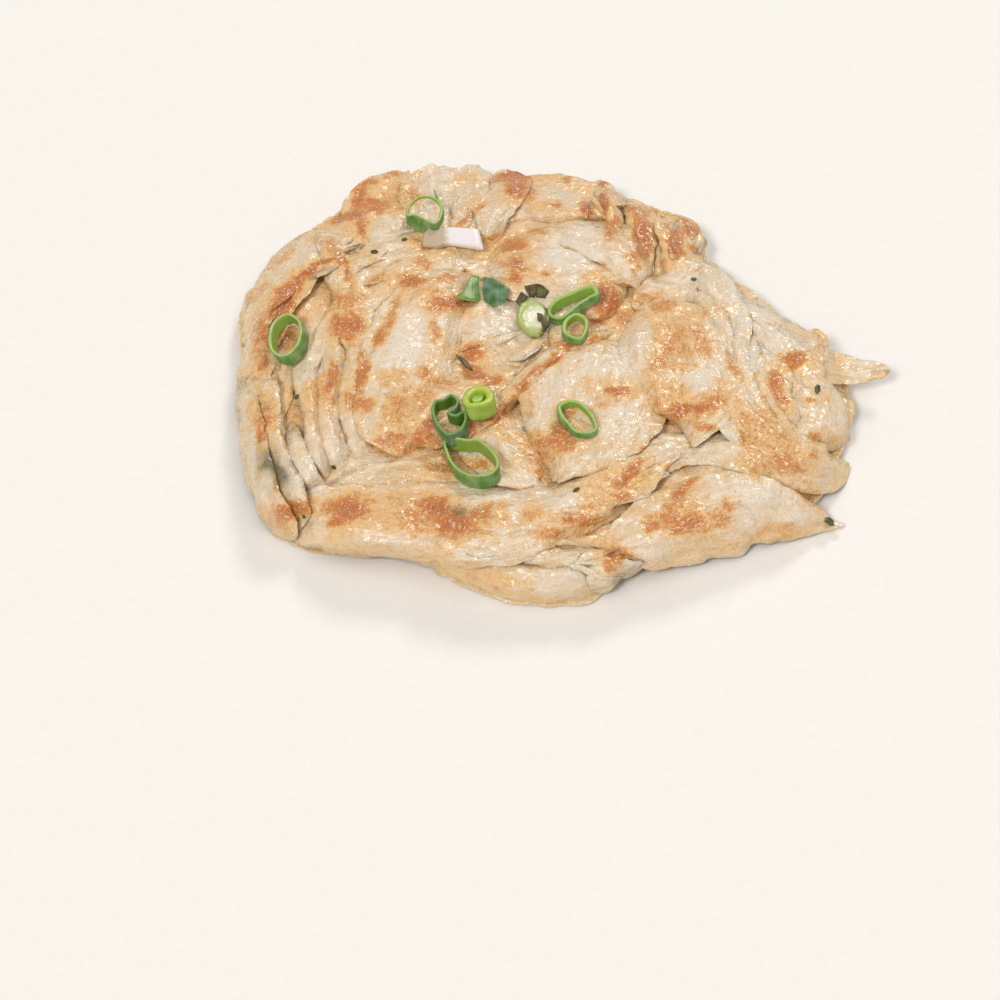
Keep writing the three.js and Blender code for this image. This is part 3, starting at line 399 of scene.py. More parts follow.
# Wider areas that only took on a speckled gold
GILDED = [
    (-37, -13, 9, 13, 0, 0.42), (-38, -24, 8, 4, 0, 0.5), (-61, -2, 5, 6, 0, 0.4),
    (-53, -47, 7, 5, 0, 0.5), (-31, -50, 13, 6, 0, 0.5), (42, 12, 9, 10, 0, 0.42),
    (41, -10, 12, 8, 0, 0.42), (24, -9, 11, 4.5, -15, 0.4), (61, -26, 16, 7, -58, 0.45),
    (16, -44, 20, 6, 35, 0.4), (35, -51, 9, 6, 60, 0.4), (-76, -10, 9, 3, -75, 0.4),
    (-72, 26, 10, 6, 80, 0.35), (-5, 50, 10, 5, 80, 0.35), (57, -36, 6, 5, 0, 0.45),
]
PALE = [
    (44, -3, 4, 7, 0, 0.9), (22, -68, 5, 3, 0, 0.8), (-65, -35, 8, 3, 100, 1),
    (-38, 14, 14, 7, 90, 0.9), (36, 43, 4, 4, 0, 0.7), (30, 68, 3, 3, 0, 0.5),
    (-38, -10, 6, 2.5, 90, 0.9), (10, 50, 9, 8, 0, 0.9),
    (28, 42, 6, 4, 0, 0.7), (20, 60, 6, 5, 0, 0.7), (25, -15, 7, 5, 0, 0.9),
    (15, 3, 12, 5, 0, 0.6), (0, -77, 10, 4, 0, 0.8), (-62, -34, 5, 5, 0, 0.8),
    (60, -50, 9, 7, 0, 0.8), (80, -20, 8, 5, 90, 0.5), (68, 12, 9, 4, 90, 0.8),
    (62, 22, 8, 4, 90, 0.9), (5, -47, 5, 3, 0, 0.9), (45, -30, 6, 2, 0, 0.6),
]
GLASSY = [
    # The first two are glassy dough made darker where hollows lie in shade, the window at the left and the
    # hollow beside the left scallion ring: their darkness is painted shade.
    (-69, -10, 7, 2.5, 100, 1), (-62, 13, 5, 3, 90, 0.6),
    (-37, -34, 20, 4, -1, 1), (-8, 10, 9, 8, 0, 0.6), (-62, 43, 8, 3, 90, 0.7),
    (-38, 62, 5, 4, 0, 0.8), (9, 68, 6, 4, 0, 0.6), (-20, 75, 10, 10, 0, 0.35),
    # (38.5, 43) darkens the same spot as the tan shadow in BROWNED: painted shadow.
    (38.5, 43, 4, 2.5, 90, 0.8), (-67, -9, 7, 3, -75, 0.8), (-50, -20, 9, 2.5, 90, 0.5),
    (-40, 55, 8, 5, 0, 0.5), (-25, 50, 8, 6, 0, 0.5), (5, -64, 11, 4, 10, 0.7),
    (25, -48, 5, 2, 30, 0.6), (12, -36, 10, 2, 30, 0.5), (42, -32, 6, 2, 0, 0.6),
    (50, -35, 5, 3, 0, 0.4), (51, 20, 8, 4, 90, 0.4), (90, -3, 6, 4, 0, 0.5),
    (78, -22, 8, 5, 90, 0.4), (-80, 12, 8, 3, 90, 0.3),
]
LEAF_STAINS = [(-73, -31, 6.5, 2.8, -62, 1), (-77, -8, 2, 2, 0, 0.4), (-23, -49, 2.5, 1.5, 20, 0.7)]

# The toppings, traced on the drawing from the middle of each
RING_LEFT = [
    (-5.1, -2.5, 1, 3.4), (-4.2, 3.7, 1, 3.4), (-0.4, 7.1, 1, 3.4), (2.7, 4.4, 1, 3.4),
    (3.7, -1.4, 1, 3.4), (2.1, -7.3, 1, 3.4), (-1, -10.1, 1, 3.4), (-4, -8, 1, 3.4),
]
RING_BACK = [
    (-5.1, -0.9, 0.8, 1.5, 0), (-4.5, 2.2, 0.8, 1, 0), (-2.9, 4.9, 0.8, 1, 0),
    (-0.7, 6.4, 0.8, 1, 0), (1.8, 6.2, 0.8, 1, 0), (4, 4.5, 0.9, 1.2, 0), (5.1, 1.9, 1, 1.6, 0.3),
    (5.2, -1.2, 1, 2, 0.5), (4.4, -4.8, 1, 2, 0.5), (3.1, -6.2, 1, 2.4, 0.3), (1, -4.9, 0.9, 4.6, 0.7),
    (-1, -3.2, 0.9, 5.6, 1), (-3, -1.9, 0.9, 5.6, 1), (-4.8, -2.2, 0.9, 3.4, 0.5),
]
LOOP = [
    (-7.9, -5, 1.1, 3), (-5.7, -1.1, 1.1, 3.4), (-1.6, 1.4, 1.1, 3.4), (2.7, 3.7, 1.1, 3.2),
    (5.4, 4.1, 1.5, 3), (6.2, 1.4, 1.5, 3), (3.9, -0.4, 1.1, 2.6), (0.6, -3.1, 1.1, 2.6),
    (-2.6, -6.5, 1.1, 2.4), (-5.2, -8.5, 1.1, 2.4), (-7.2, -7.8, 1.1, 2.4),
]
RING_SMALL = [
    (-3.2, -2.5, 1.4, 2.6), (-2.4, 1.8, 1.3, 2.6), (0.7, 4.2, 1.2, 2.4), (3, 2.2, 1.2, 2.4),
    (3.1, -1.7, 1.2, 2.4), (1.2, -5.7, 1.2, 2.2), (-1.4, -5, 1.2, 2.2),
]
CURL_DARK = [
    (0.1, -9.8, 1, 4), (-2.6, -5.9, 1, 3.5), (-4, -0.8, 1, 3.2), (-3.1, 2.9, 1, 3), (-1.1, 3.3, 1, 3),
    (1.1, 5, 1, 3.2), (2.9, 2.6, 1, 3.2), (2.2, 0.3, 1, 3.2), (0.3, -1.7, 1, 3), (2.3, -2.9, 1, 3.2),
    (4.5, -1.5, 1, 3.4), (4.9, -4.9, 1, 3.8), (3.1, -8.5, 1, 4),
]
TUBE_LIME = [
    (-3.9, 0.2, 1.9, 4.5), (-2.3, 3.1, 1.9, 4.5), (0.1, 4.2, 1.9, 4.5), (2.3, 3.1, 2.1, 4.5),
    (2.9, 0.3, 2.1, 4.5), (1.3, -1.7, 1.7, 4.5), (-1.1, -2.3, 1.6, 4.5), (-3.1, -2, 1.7, 4.5),
]
RING_FRONT = [
    (-7, 5.7, 0.9, 4.6), (-6, 6.5, 0.9, 4.6), (-3.5, 6.4, 0.9, 4.6), (-0.9, 5.7, 0.9, 4.6),
    (1.8, 5.6, 0.9, 4.6), (4, 3.6, 0.9, 4.6), (6.1, 0.5, 0.9, 4.6), (7.1, -2.4, 0.9, 4.8),
    (6.9, -4.8, 0.9, 5), (5.4, -6.7, 0.9, 5), (2.5, -7.5, 0.9, 5), (-0.8, -7, 0.9, 4.8),
    (-3, -5.5, 0.9, 4.4), (-5, -2.9, 0.9, 4), (-6.4, 1.2, 0.9, 4),
]
RING_MIDDLE = [
    (-4.5, 4, 1.3, 3), (-2.4, 5.5, 1.2, 2.4), (0.2, 5.3, 1, 2), (3.1, 2.1, 1, 2), (4.8, -2.1, 1, 2),
    (4.8, -5.7, 1, 2), (2.2, -6.5, 1, 2), (-0.4, -5.9, 1, 2.2), (-2.5, -2.6, 1.1, 2.6),
    (-4.2, 0.7, 1.2, 3),
]
LEAF_LIGHT = [
    (0.7, 6), (3.1, 5), (3.0, -2), (3.4, -4.6), (2.6, -5.6), (0, -5), (-2.5, -4.2), (-3.6, -2.6),
    (-1.8, -1.7), (-0.4, 2.3),
]
LEAF_DARK = [(-3.4, 5.3), (-0.6, 4.6), (3.8, -0.2), (2.5, -6.2), (-1.4, -7.2), (-3.6, -4.7), (-4.0, -0.8)]
ONION = [
    (-10.8, 1.4), (-9.3, 3.6), (-5.2, 3.8), (-1.2, 3.6), (5.8, 2.4), (6.5, -2), (7.1, -6.4),
    (1.9, -4.9), (-3.3, -3.5), (-6.5, -5), (-11.1, -4),
]
BULB = [
    (-4.3, 2), (-2.8, 5.5), (0.4, 7.3), (3.1, 5.2), (4.4, 1.4), (3.4, -2.0), (4, -4.6), (1.9, -7.7),
    (-0.5, -6.8), (-2.9, -4.5), (-4.4, -1.2),
]
SCORCHED = [
    ([(-0.6, 2), (1.2, 1.2), (3.0, -1.6), (1.8, -4.4), (-1.0, -3.6)], (60, 0.8)),
    ([(-4.2, 1.1), (-0.2, 1.9), (-1.3, -3.9), (-2.8, -3.4)], (0, 0.7)),
    ([(-5.2, -1.3), (-3.2, -3.4), (-5.7, -7.3), (-6.9, -5.2)], (-60, 0.5)),
]
CRACK = [
    (-1.0, -10.2), (0.6, -10.9), (1.0, -12.3), (2.6, -15.2), (0.9, -18.2), (-0.2, -17.4), (0.8, -15.4),
    (-0.8, -13.2),
]
FLECKS = [
    # x, y, half length, half width, heading
    (-64, -48, 1, 0.7, 20), (77, -9, 1.8, 0.8, 80), (8, -42.5, 1.2, 0.5, 35), (-57, -31, 0.9, 0.5, -40),
    (-68, -4, 1, 0.5, 60), (-21, 7, 4.2, 0.7, -55), (-47, 55, 1.2, 0.8, 0), (47, 37.5, 0.9, 0.6, 0),
    (73.5, -57, 1.7, 1.1, -60), (-38, 60, 0.9, 0.6, 10),
]


def smooth(x):
    x = np.clip(x, 0, 1)
    return x * x * (3 - 2 * x)


def between(value, low, high):
    """0 up to low, 1 from high on, and a soft step between them."""
    return smooth((value - low) / (high - low))


def lerp(a, b, t):
    return a + (b - a) * t


def ripple(x, y, seed, wavelength):
    """A slow wave over the drawing, from -1 to 1, different for each seed."""
    total = 0
    for k in (1, 2, 3):
        heading = 1.7 * seed + 2.4 * k
        along = x * math.cos(heading) + y * math.sin(heading)
        total = total + np.sin(
            along * 2 * math.pi * (0.7 + 0.3 * k) / wavelength + 2.3 * seed + 1.1 * k
        )
    return total / 3


def scatter(i, j, k, seed):
    """A number from 0 to 1 that depends only on these four whole numbers."""
    n = (i * 73856093) ^ (j * 19349663) ^ (k * 83492791) ^ (seed * 2654435761)
    n = (n ^ (n >> 13)) & 0x7FFFFFFF
    n = (n * 1274126177) & 0x7FFFFFFF
    return ((n ^ (n >> 16)) & 0xFFFF) / 65535.0


def lumps(points, seed):
    """Smooth noise from -1 to 1 with bumps about 1 apart, at points (n, 3)."""
    base = np.floor(points).astype(np.int64)
    f = points - base
    w = f * f * f * (f * (f * 6 - 15) + 10)
    total = 0
    for corner in np.ndindex(2, 2, 2):
        share = np.prod(np.where(np.array(corner) == 1, w, 1 - w), axis=1)
        i, j, k = (base + corner).T
        total = total + share * scatter(i, j, k, seed)
    return total * 2 - 1


def lumps_over(a, b, seed):
    """The same noise over two coordinates, which may be grids."""
    a, b = np.broadcast_arrays(a, b)
    points = np.stack([a.ravel(), b.ravel(), np.full(a.size, 0.5)], 1)
    return lumps(points, seed).reshape(a.shape)


def uneven(bumps, a, b, seed):
    """Lumps of several sizes, as its table bumps says, over two coordinates of a sheet."""
    return sum(much * lumps_over(a / long, b / wide, seed + own) for much, long, wide, own in bumps)


def sight(x, y, z):
    """The point at height z on the line of sight through (x, y) of the drawing."""
    t = (EYE[2] - z) / (EYE[2] - DRAWN_HEIGHT)
    x, y, z = np.broadcast_arrays(EYE[0] + (x - EYE[0]) * t, EYE[1] + (y - EYE[1]) * t, z)
    return np.stack([x, y, z], -1)


def drawn(points):
    """Where the drawing shows true points."""
    t = (EYE[2] - points[..., 2]) / (EYE[2] - DRAWN_HEIGHT)
    return EYE[0] + (points[..., 0] - EYE[0]) / t, EYE[1] + (points[..., 1] - EYE[1]) / t


def curve_through(points, count, closed=False):
    """count evenly spaced points on the smooth curve through points, and its length."""
    p = np.array(points, float)
    ends = [p[-1:], p, p[:2]] if closed else [[2 * p[0] - p[1]], p, [2 * p[-1] - p[-2]]]
    p = np.concatenate(ends)
    pieces = []
    for a, b, c, d in zip(p, p[1:], p[2:], p[3:]):
        t1 = np.linalg.norm(b - a) ** 0.5
        t2 = t1 + np.linalg.norm(c - b) ** 0.5
        t3 = t2 + np.linalg.norm(d - c) ** 0.5
        t = np.linspace(t1, t2, 40, endpoint=False)[:, None]
        ab, bc = lerp(a, b, t / t1), lerp(b, c, (t - t1) / (t2 - t1))
        cd = lerp(c, d, (t - t2) / (t3 - t2))
        abc, bcd = lerp(ab, bc, t / t2), lerp(bc, cd, (t - t1) / (t3 - t1))
        pieces.append(lerp(abc, bcd, (t - t1) / (t2 - t1)))
    line = np.concatenate(pieces + [p[-2:-1]])
    run = np.concatenate([[0], np.cumsum(np.linalg.norm(np.diff(line, axis=0), axis=1))])
    at = np.linspace(0, run[-1], count + 1)[:-1] if closed else np.linspace(0, run[-1], count)
    return np.stack([np.interp(at, run, column) for column in line.T], -1), run[-1]


def quads_of_grid(rows, columns, first=0, closed=False, flip=False):
    i = np.arange(rows - 1)[:, None]
    j = np.arange(columns if closed else columns - 1)[None, :]
    after = (j + 1) % columns
    corners = [i * columns + j, i * columns + after, (i + 1) * columns + after, (i + 1) * columns + j]
    quads = np.stack(np.broadcast_arrays(*corners), -1).reshape(-1, 4) + first
    return quads[:, ::-1] if flip else quads


class Pile:
    """How high the dough stands over the drawing so far."""

    def __init__(self):
        self.height = np.zeros((GRID_ROWS, GRID_COLUMNS))

    def raise_to(self, x, y, z):
        column = np.round(x - GRID_LOW[0]).astype(int).ravel()
        row = np.round(y - GRID_LOW[1]).astype(int).ravel()
        on = (column >= 0) & (row >= 0) & (column < GRID_COLUMNS) & (row < GRID_ROWS)
        np.maximum.at(self.height, (row[on], column[on]), z.ravel()[on])

    def draped(self, reach=3, softness=4):
        """The surface that a sheet takes which is laid on the pile now."""
        height = self.height
        for axis in (0, 1):
            height = np.max([np.roll(height, k, axis) for k in range(-reach, reach + 1)], 0)
        for axis in (0, 1, 0, 1):
            height = np.mean([np.roll(height, k, axis) for k in range(-softness, softness + 1)], 0)
        return height


def height_on(height, x, y):
    column = np.clip(x - GRID_LOW[0], 0, GRID_COLUMNS - 1.001)
    row = np.clip(y - GRID_LOW[1], 0, GRID_ROWS - 1.001)
    c, r = column.astype(int), row.astype(int)
    near = lerp(height[r, c], height[r, c + 1], column - c)
    far = lerp(height[r + 1, c], height[r + 1, c + 1], column - c)
    return lerp(near, far, row - r)


def core_top(edge, share):
    """The place and the height of the core's top, a share of the way from its middle to its edge."""
    rim = edge - CORE_MIDDLE
    reach = np.linalg.norm(rim, axis=-1)
    low = lerp(FRONT_RIM, BACK_RIM, smooth((rim[..., 1] / reach + 0.6) / 1.4))
    at = CORE_MIDDLE + rim * share[..., None]
    top = CORE_HEIGHT + CORE_SWELL * ripple(at[..., 0], at[..., 1], 1, 60)
    return at, lerp(low, top, 1 - np.exp(-(1 - share) * reach / RIM_RISE))


def core_outline(count):
    return curve_through([(x, y, 0) for x, y in CORE_OUTLINE], count, closed=True)[0][:, :2]


def underside_relief(x, y):
    """The griddled underside is flat, with shallow hollows where the dough didn't reach the pan."""
    hollow = lumps_over(x / 15, y / 15, 31) + 0.5 * lumps_over(x / 6, y / 6, 32)
    return 1.1 * smooth((hollow - 0.05) / 0.9) + 0.15 * (1 + lumps_over(x / 2.6, y / 2.6, 33))


def core_shell():
    around = 420
    edge = core_outline(around)
    rows = []
    for share in np.sin(np.linspace(0.03, 1, 60) * math.pi / 2):
        at, z = core_top(edge, np.full(around, share))
        rows.append(sight(at[:, 0], at[:, 1], z))
    rim = rows[-1]
    middle = sight(*CORE_MIDDLE, 0.0)
    inward = (middle - rim) * (1, 1, 0)
    foot = rim + inward / np.linalg.norm(inward, axis=1)[:, None] * FOOT_INSET
    foot[:, 2] = 0
    rows += [lerp(rim, foot, w) for w in np.linspace(0, 1, 12)[1:]]
    for w in np.linspace(0, 0.985, 60)[1:]:
        row = lerp(foot, middle, w)
        row[:, 2] = underside_relief(row[:, 0], row[:, 1]) * smooth(w * 60 / 6)
        rows.append(row)
    points = np.concatenate(rows)
    top, bottom = len(points), len(points) + 1
    at, z = core_top(edge[:1], np.zeros(1))
    points = np.concatenate([points, sight(at[:, 0], at[:, 1], z), middle[None]])
    j = np.arange(around)
    after = (j + 1) % around
    last = (len(rows) - 1) * around
    fans = [
        np.stack([np.full(around, top), j, after], 1),
        np.stack([np.full(around, bottom), last + after, last + j], 1),
    ]
    quads = quads_of_grid(len(rows), around, closed=True, flip=True)
    across = np.concatenate([points[:, :2], np.zeros((len(points), 1))], 1)
    return dict(points=points, faces=[quads, *fans], grain=across, rim=np.full(len(points), NO_EDGE))


def pressed(z):
    """The griddle flattened what stood high."""
    low = PAN_LEVEL - PAN_SOFTNESS
    return np.where(z > low, low + PAN_SOFTNESS * (1 - np.exp(-np.maximum(z - low, 0) / PAN_SOFTNESS)), z)


def sheet_shell(top, bottom, grain, rim):
    """A closed sheet whose top and bottom are grids of points of one size, with its own measures."""
    rows, columns = top.shape[:2]
    size = rows * columns
    up = np.arange(size).reshape(rows, columns)
    down = up + size
    faces = [quads_of_grid(rows, columns, flip=True), quads_of_grid(rows, columns, first=size)]
    sides = [(down[:, 0], up[:, 0]), (up[:, -1], down[:, -1]), (up[0], down[0]), (down[-1], up[-1])]
    faces += [np.stack([a[:-1], a[1:], b[1:], b[:-1]], 1) for a, b in sides]
    grain, rim = grain.reshape(-1, 3), rim.ravel()
    return dict(
        points=np.concatenate([top.reshape(-1, 3), bottom.reshape(-1, 3)]),
        faces=faces,
        grain=np.concatenate([grain, grain]),
        rim=np.concatenate([rim, rim]),
    )


def fold_shell(fold, seed, pile, thickness=SHEET, reach=3, softness=4):
    """One sheet of dough, laid along its path on the pile, with ragged edges and wrinkles."""
    path, crown = fold["path"], fold.get("crown", 2.5)
    lift, ends = fold.get("lift", (0.9, 0.9)), fold.get("ends", (-1.5, -1.5))
    hold, taper = fold.get("hold", 0.6), fold.get("taper", 0.75)
    widest = max(width for x, y, width in path)
    length = curve_through(path, 100)[1]
    stations = curve_through(path, max(8, int(length / SPACING)) + 1)[0]
    along = np.gradient(stations[:, :2], axis=0)
    along /= np.linalg.norm(along, axis=1)[:, None]
    even = np.linspace(-1, 1, max(6, int(2 * widest / SPACING)) + 1)
    v = (np.sin(even * math.pi / 2) + even) / 2  # closer together at the edges
    u, v = np.meshgrid(np.linspace(0, 1, len(stations)), v, indexing="ij")
    run = u * length

    cap = min(widest, length * 0.3, fold.get("tip", widest)) / length
    to_cap = np.clip(np.minimum(u, 1 - u) / cap, 0, 1)
    half = stations[:, 2][:, None] * (1 - taper * (1 - to_cap) ** 2.4)
    side, finish = 2 * np.sign(v), 3 * np.sign(u - 0.5)
    torn = uneven(TORN_SIDE, run, side, seed) * fold.get("torn", 1)
    half = half * lerp(1, 1 + torn / np.maximum(half, 3), smooth(np.abs(v)))
    across = v * half
    push = uneven(TORN_END, across, finish, seed) * fold.get("torn", 1) * (1 - to_cap) ** 2
    x = stations[:, 0][:, None] - along[:, 1][:, None] * across + along[:, 0][:, None] * push
    y = stations[:, 1][:, None] + along[:, 0][:, None] * across + along[:, 1][:, None] * push

    bed = np.maximum(hold, height_on(pile.draped(reach, softness), x, y))
    from_edges = [(1 - v) * half, (1 + v) * half, run, length - run]
    rise = 0
    for distance, amount, is_end in zip(from_edges, (*lift, *ends), (False, False, True, True)):
        if amount >= 0:
            curl = 1 + 0.9 * lumps_over(run / 11, side, seed + 7)
            rise = rise + amount * curl * np.exp(-distance / CURL_REACH)
        else:
            tuck = min(END_REACH, 0.3 * length) if is_end else min(TUCK_REACH, 0.55 * widest + 1)
            rise = rise + (amount - 1.2) * (1 - smooth(distance / tuck))
    edge = np.minimum.reduce(from_edges)
    dome = (1 - np.abs(v) ** 2.6) * (1 - np.abs(2 * u - 1) ** 5)
    wrinkle = WRINKLE * ripple(x, y, seed, 19) * smooth(edge / 4)
    pleats = uneven(PLEATS, run, across, seed) * min(1, widest / 8) * smooth(edge / 2.5)

    # Thinner layers end one behind another in from each free edge.
    free = np.full_like(u, NO_EDGE)
    for distance, amount in zip(from_edges[:2], lift):
        if amount >= 0:
            free = np.minimum(free, distance)
    step = np.clip((free + uneven(LAYER_ENDS, run, across, seed)) / LAYER_APART, 0, 2.999)
    stairs = LAYER_STEP * (np.floor(step) + between(step % 1, 0.8, 1))
    layers = np.where(free < NO_EDGE, stairs, 0) - 0.5

    top = np.maximum(pressed(bed + rise + crown * dome + wrinkle) + pleats + layers, 1)
    bottom = np.maximum(lerp(top - thickness, bed - 2.5, smooth(edge / FREE_EDGE)), 0.25)
    lip = LIP * thickness * (1 - smooth(edge / LIP_REACH))
    top = top - lip
    bottom = np.minimum(bottom + lip, top - 0.25)
    pile.raise_to(x, y, top)
    up, down = sight(x, y, top), sight(x, y, bottom)
    grain = np.stack([run, across, np.full_like(run, 10.0 * seed)], -1)
    rim = np.minimum(free, run) if ends[0] >= 0 else free
    return sheet_shell(up, down, grain, rim)


def side_shell(start, end, level, reach, seed):
    """A thin layer that follows the core's side and stands out of it."""
    share = np.linspace(0, 1, int((end - start) * 520 / SPACING))
    edge = core_outline(2000)[(lerp(start, end, share) * 2000).astype(int) % 2000]
    at, z = core_top(edge, np.ones(len(edge)))
    outer = sight(at[:, 0], at[:, 1], z)
    outward = (outer - sight(*CORE_MIDDLE, 0.0)) * (1, 1, 0)
    outward /= np.linalg.norm(outward, axis=1)[:, None]
    fade = np.sqrt(np.sin(share * math.pi))
    ragged = 0.7 + 0.5 * ripple(edge[:, 0], edge[:, 1], seed + 3, 37)
    ragged = ragged + 0.25 * lumps_over(share * 90, 0 * share, seed)
    root = 9.0
    v = np.linspace(0, 1, 14)[None, :]
    radial = lerp((reach * fade * ragged)[:, None], -root, v)
    slope = 1.4 * ripple(edge[:, 0], edge[:, 1], seed, 45)[:, None] - 0.12 * np.maximum(radial, 0)
    middle = level + slope + 0.3 * lumps_over(share[:, None] * 60, radial / 3, seed + 5)
    place = outer[:, None, :] + outward[:, None, :] * radial[..., None]
    up, down = place.copy(), place.copy()
    up[..., 2] = np.maximum(middle + 0.6, 0.9)
    down[..., 2] = np.maximum(middle - 0.6, 0.3)
    grain = np.stack(np.broadcast_arrays(share[:, None] * 500, radial, 7.0 * seed + 900), -1)
    # Its path runs anticlockwise and its width inwards, which is to the left.
    return sheet_shell(up, down, grain, v * (root + reach) + np.zeros_like(radial))


def torn_layer(x, y, heading, length, draw):
    """A short loose layer, as a path for fold_shell; draw is four numbers from 0 to 1."""
    half = length * (0.1 + 0.13 * draw[0])
    bend = (draw[1] - 0.5) * 0.3 * length
    path = []
    for t, width in ((-0.5, 0.7), (-0.17, 1), (0.17, 0.8), (0.5, 0.15)):
        sideways = bend * (1 - 4 * t * t)
        path.append((
            x + math.cos(heading) * t * length - math.sin(heading) * sideways,
            y + math.sin(heading) * t * length + math.cos(heading) * sideways,
            half * width,
        ))
    lift = (0.7, -0.6) if draw[2] > 0.5 else (-0.6, 0.7)
    return dict(path=path, crown=0.5, lift=lift, ends=(-0.8, 0.4 + 0.8 * draw[3]), taper=0.25)


def torn_layers():
    """Short loose layers all over the core, placed by a seeded rule."""
    outline = core_outline(400)
    folds = []
    for k in range(TORN_COUNT):
        draw = [scatter(k, j, 1, 77) for j in range(8)]
        rim = outline[int(draw[1] * len(outline)) % len(outline)] - CORE_MIDDLE
        share = math.sqrt(draw[2]) * 0.9
        x, y = CORE_MIDDLE + rim * share
        turn = (draw[3] - 0.5) * 1.8 * (1.05 - share)  # near the rim they run along it
        heading = math.atan2(rim[1], rim[0]) + math.pi / 2 + turn
        length = TORN_LENGTH * (0.7 + 0.8 * draw[4])
        folds.append(torn_layer(x, y, heading, length, [draw[5], draw[7], draw[6], 0]))
    return folds


def flakes():
    """The thin flakes on top, scattered over their areas by a seeded rule."""
    folds = []
    for area, (x, y, long, wide, heading, count, size) in enumerate(FLAKES):
        turn = math.radians(heading)
        for k in range(count):
            draw = [scatter(k, j, area, 78) for j in range(9)]
            far, around = math.sqrt(draw[0]), 2 * math.pi * draw[1]
            along, across = long * far * math.cos(around), wide * far * math.sin(around)
            at_x = x + along * math.cos(turn) - across * math.sin(turn)
            at_y = y + along * math.sin(turn) + across * math.cos(turn)
            length = size * (0.6 + 0.8 * draw[2])
            folds.append(torn_layer(at_x, at_y, turn + (draw[3] - 0.5) * 0.8, length, draw[4:8]))
            folds[-1]["lift"] = (0.7, -0.5) if draw[6] > 0.5 else (-0.5, 0.7)
    return folds


def mesh_of(name, shell):
    """A mesh object in metres, with the shell's own measures on its corners."""
    faces = [face for block in shell["faces"] for face in np.asarray(block).tolist()]
    mesh = bpy.data.meshes.new(name)
    mesh.from_pydata(((shell["points"] - PLAN_MIDDLE) * MM).tolist(), [], faces)
    corner = np.zeros(len(mesh.loops), dtype=np.int32)
    mesh.loops.foreach_get("vertex_index", corner)
    grain = mesh.attributes.new("grain", "FLOAT_VECTOR", "CORNER")
    grain.data.foreach_set("vector", shell["grain"][corner].ravel())
    rim = mesh.attributes.new("rim", "FLOAT", "CORNER")
    rim.data.foreach_set("value", shell["rim"][corner])
    return bpy.data.objects.new(name, mesh)


def joined_dough(shells):
    """Fuses the shells into one closed solid and leaves only its outside."""
    solids = [mesh_of(f"sheet_{i}", shell) for i, shell in enumerate(shells)]
    bread = solids[0]
    bread.name = "flatbread"
    bpy.context.scene.collection.objects.link(bread)
    sheets = bpy.data.collections.new("sheets")
    bpy.context.scene.collection.children.link(sheets)
    for sheet in solids[1:]:
        sheets.objects.link(sheet)
    join = bread.modifiers.new("join", "BOOLEAN")
    join.operation = "UNION"
    join.operand_type = "COLLECTION"
    join.collection = sheets
    join.solver = "MANIFOLD"
    whole = bread.evaluated_get(bpy.context.evaluated_depsgraph_get())
    mesh = bpy.data.meshes.new_from_object(whole)
    bread.modifiers.clear()
    bread.data = mesh
    for sheet in solids[1:]:
        bpy.data.objects.remove(sheet)
    bpy.data.collections.remove(sheets)
    return bread


def piled_bread():
    """The pile as a mesh, and its height over the drawing."""
    pile = Pile()
    edge = core_outline(1200)
    at, z = core_top(edge[:, None, :].repeat(160, 1), np.linspace(0, 1, 160)[None, :].repeat(1200, 0))
    pile.raise_to(at[..., 0], at[..., 1], z)
    shells = [core_shell()]
    shells += [side_shell(**layer, seed=i) for i, layer in enumerate(SIDE_LAYERS)]
    shells += [fold_shell(fold, 200 + i, pile) for i, fold in enumerate(torn_layers())]
    shells += [fold_shell(fold, i, pile) for i, fold in enumerate(FOLDS)]
    for i, flake in enumerate(flakes()):
        shells.append(fold_shell(flake, 300 + i, pile, LOOSE_SHEET, reach=1, softness=2))
    return joined_dough(shells), pile


def positions(mesh):
    values = np.empty(len(mesh.vertices) * 3, dtype=np.float32)
    mesh.vertices.foreach_get("co", values)
    return values.reshape(-1, 3).astype(float)


def normals(mesh):
    values = np.empty(len(mesh.vertices) * 3, dtype=np.float32)
    mesh.vertex_normals.foreach_get("vector", values)
    return values.reshape(-1, 3).astype(float)


def on_points(mesh, name):
    """A corner attribute, averaged on to the points."""
    corner = np.zeros(len(mesh.loops), dtype=np.int32)
    mesh.loops.foreach_get("vertex_index", corner)
    values = np.zeros(len(mesh.loops), dtype=np.float32)
    mesh.attributes[name].data.foreach_get("value", values)
    total = np.bincount(corner, values, len(mesh.vertices))
    return total / np.maximum(np.bincount(corner, minlength=len(mesh.vertices)), 1)


def blistered(bread):
    """Raises the small relief of fried dough: soft lumps, blisters and fine crinkles."""
    mesh = bread.data
    p = positions(mesh) / MM
    n = normals(mesh)
    relief = BLISTER_HEIGHT * between(lumps(p / BLISTERS_APART, 41), 0.35, 0.85)
    relief += sum(high * lumps(p / apart, seed) for high, apart, seed in SKIN_LUMPS)
    relief *= between(p[:, 2], 0.3, 2.3)
    p = p + n * relief[:, None]
    p[:, 2] = np.maximum(p[:, 2], 0)
    mesh.vertices.foreach_set("co", (p * MM).ravel())
    mesh.update()
    mesh.polygons.foreach_set("use_smooth", np.ones(len(mesh.polygons), dtype=bool))
    mesh.set_sharp_from_angle(angle=math.radians(CRISP_ANGLE))


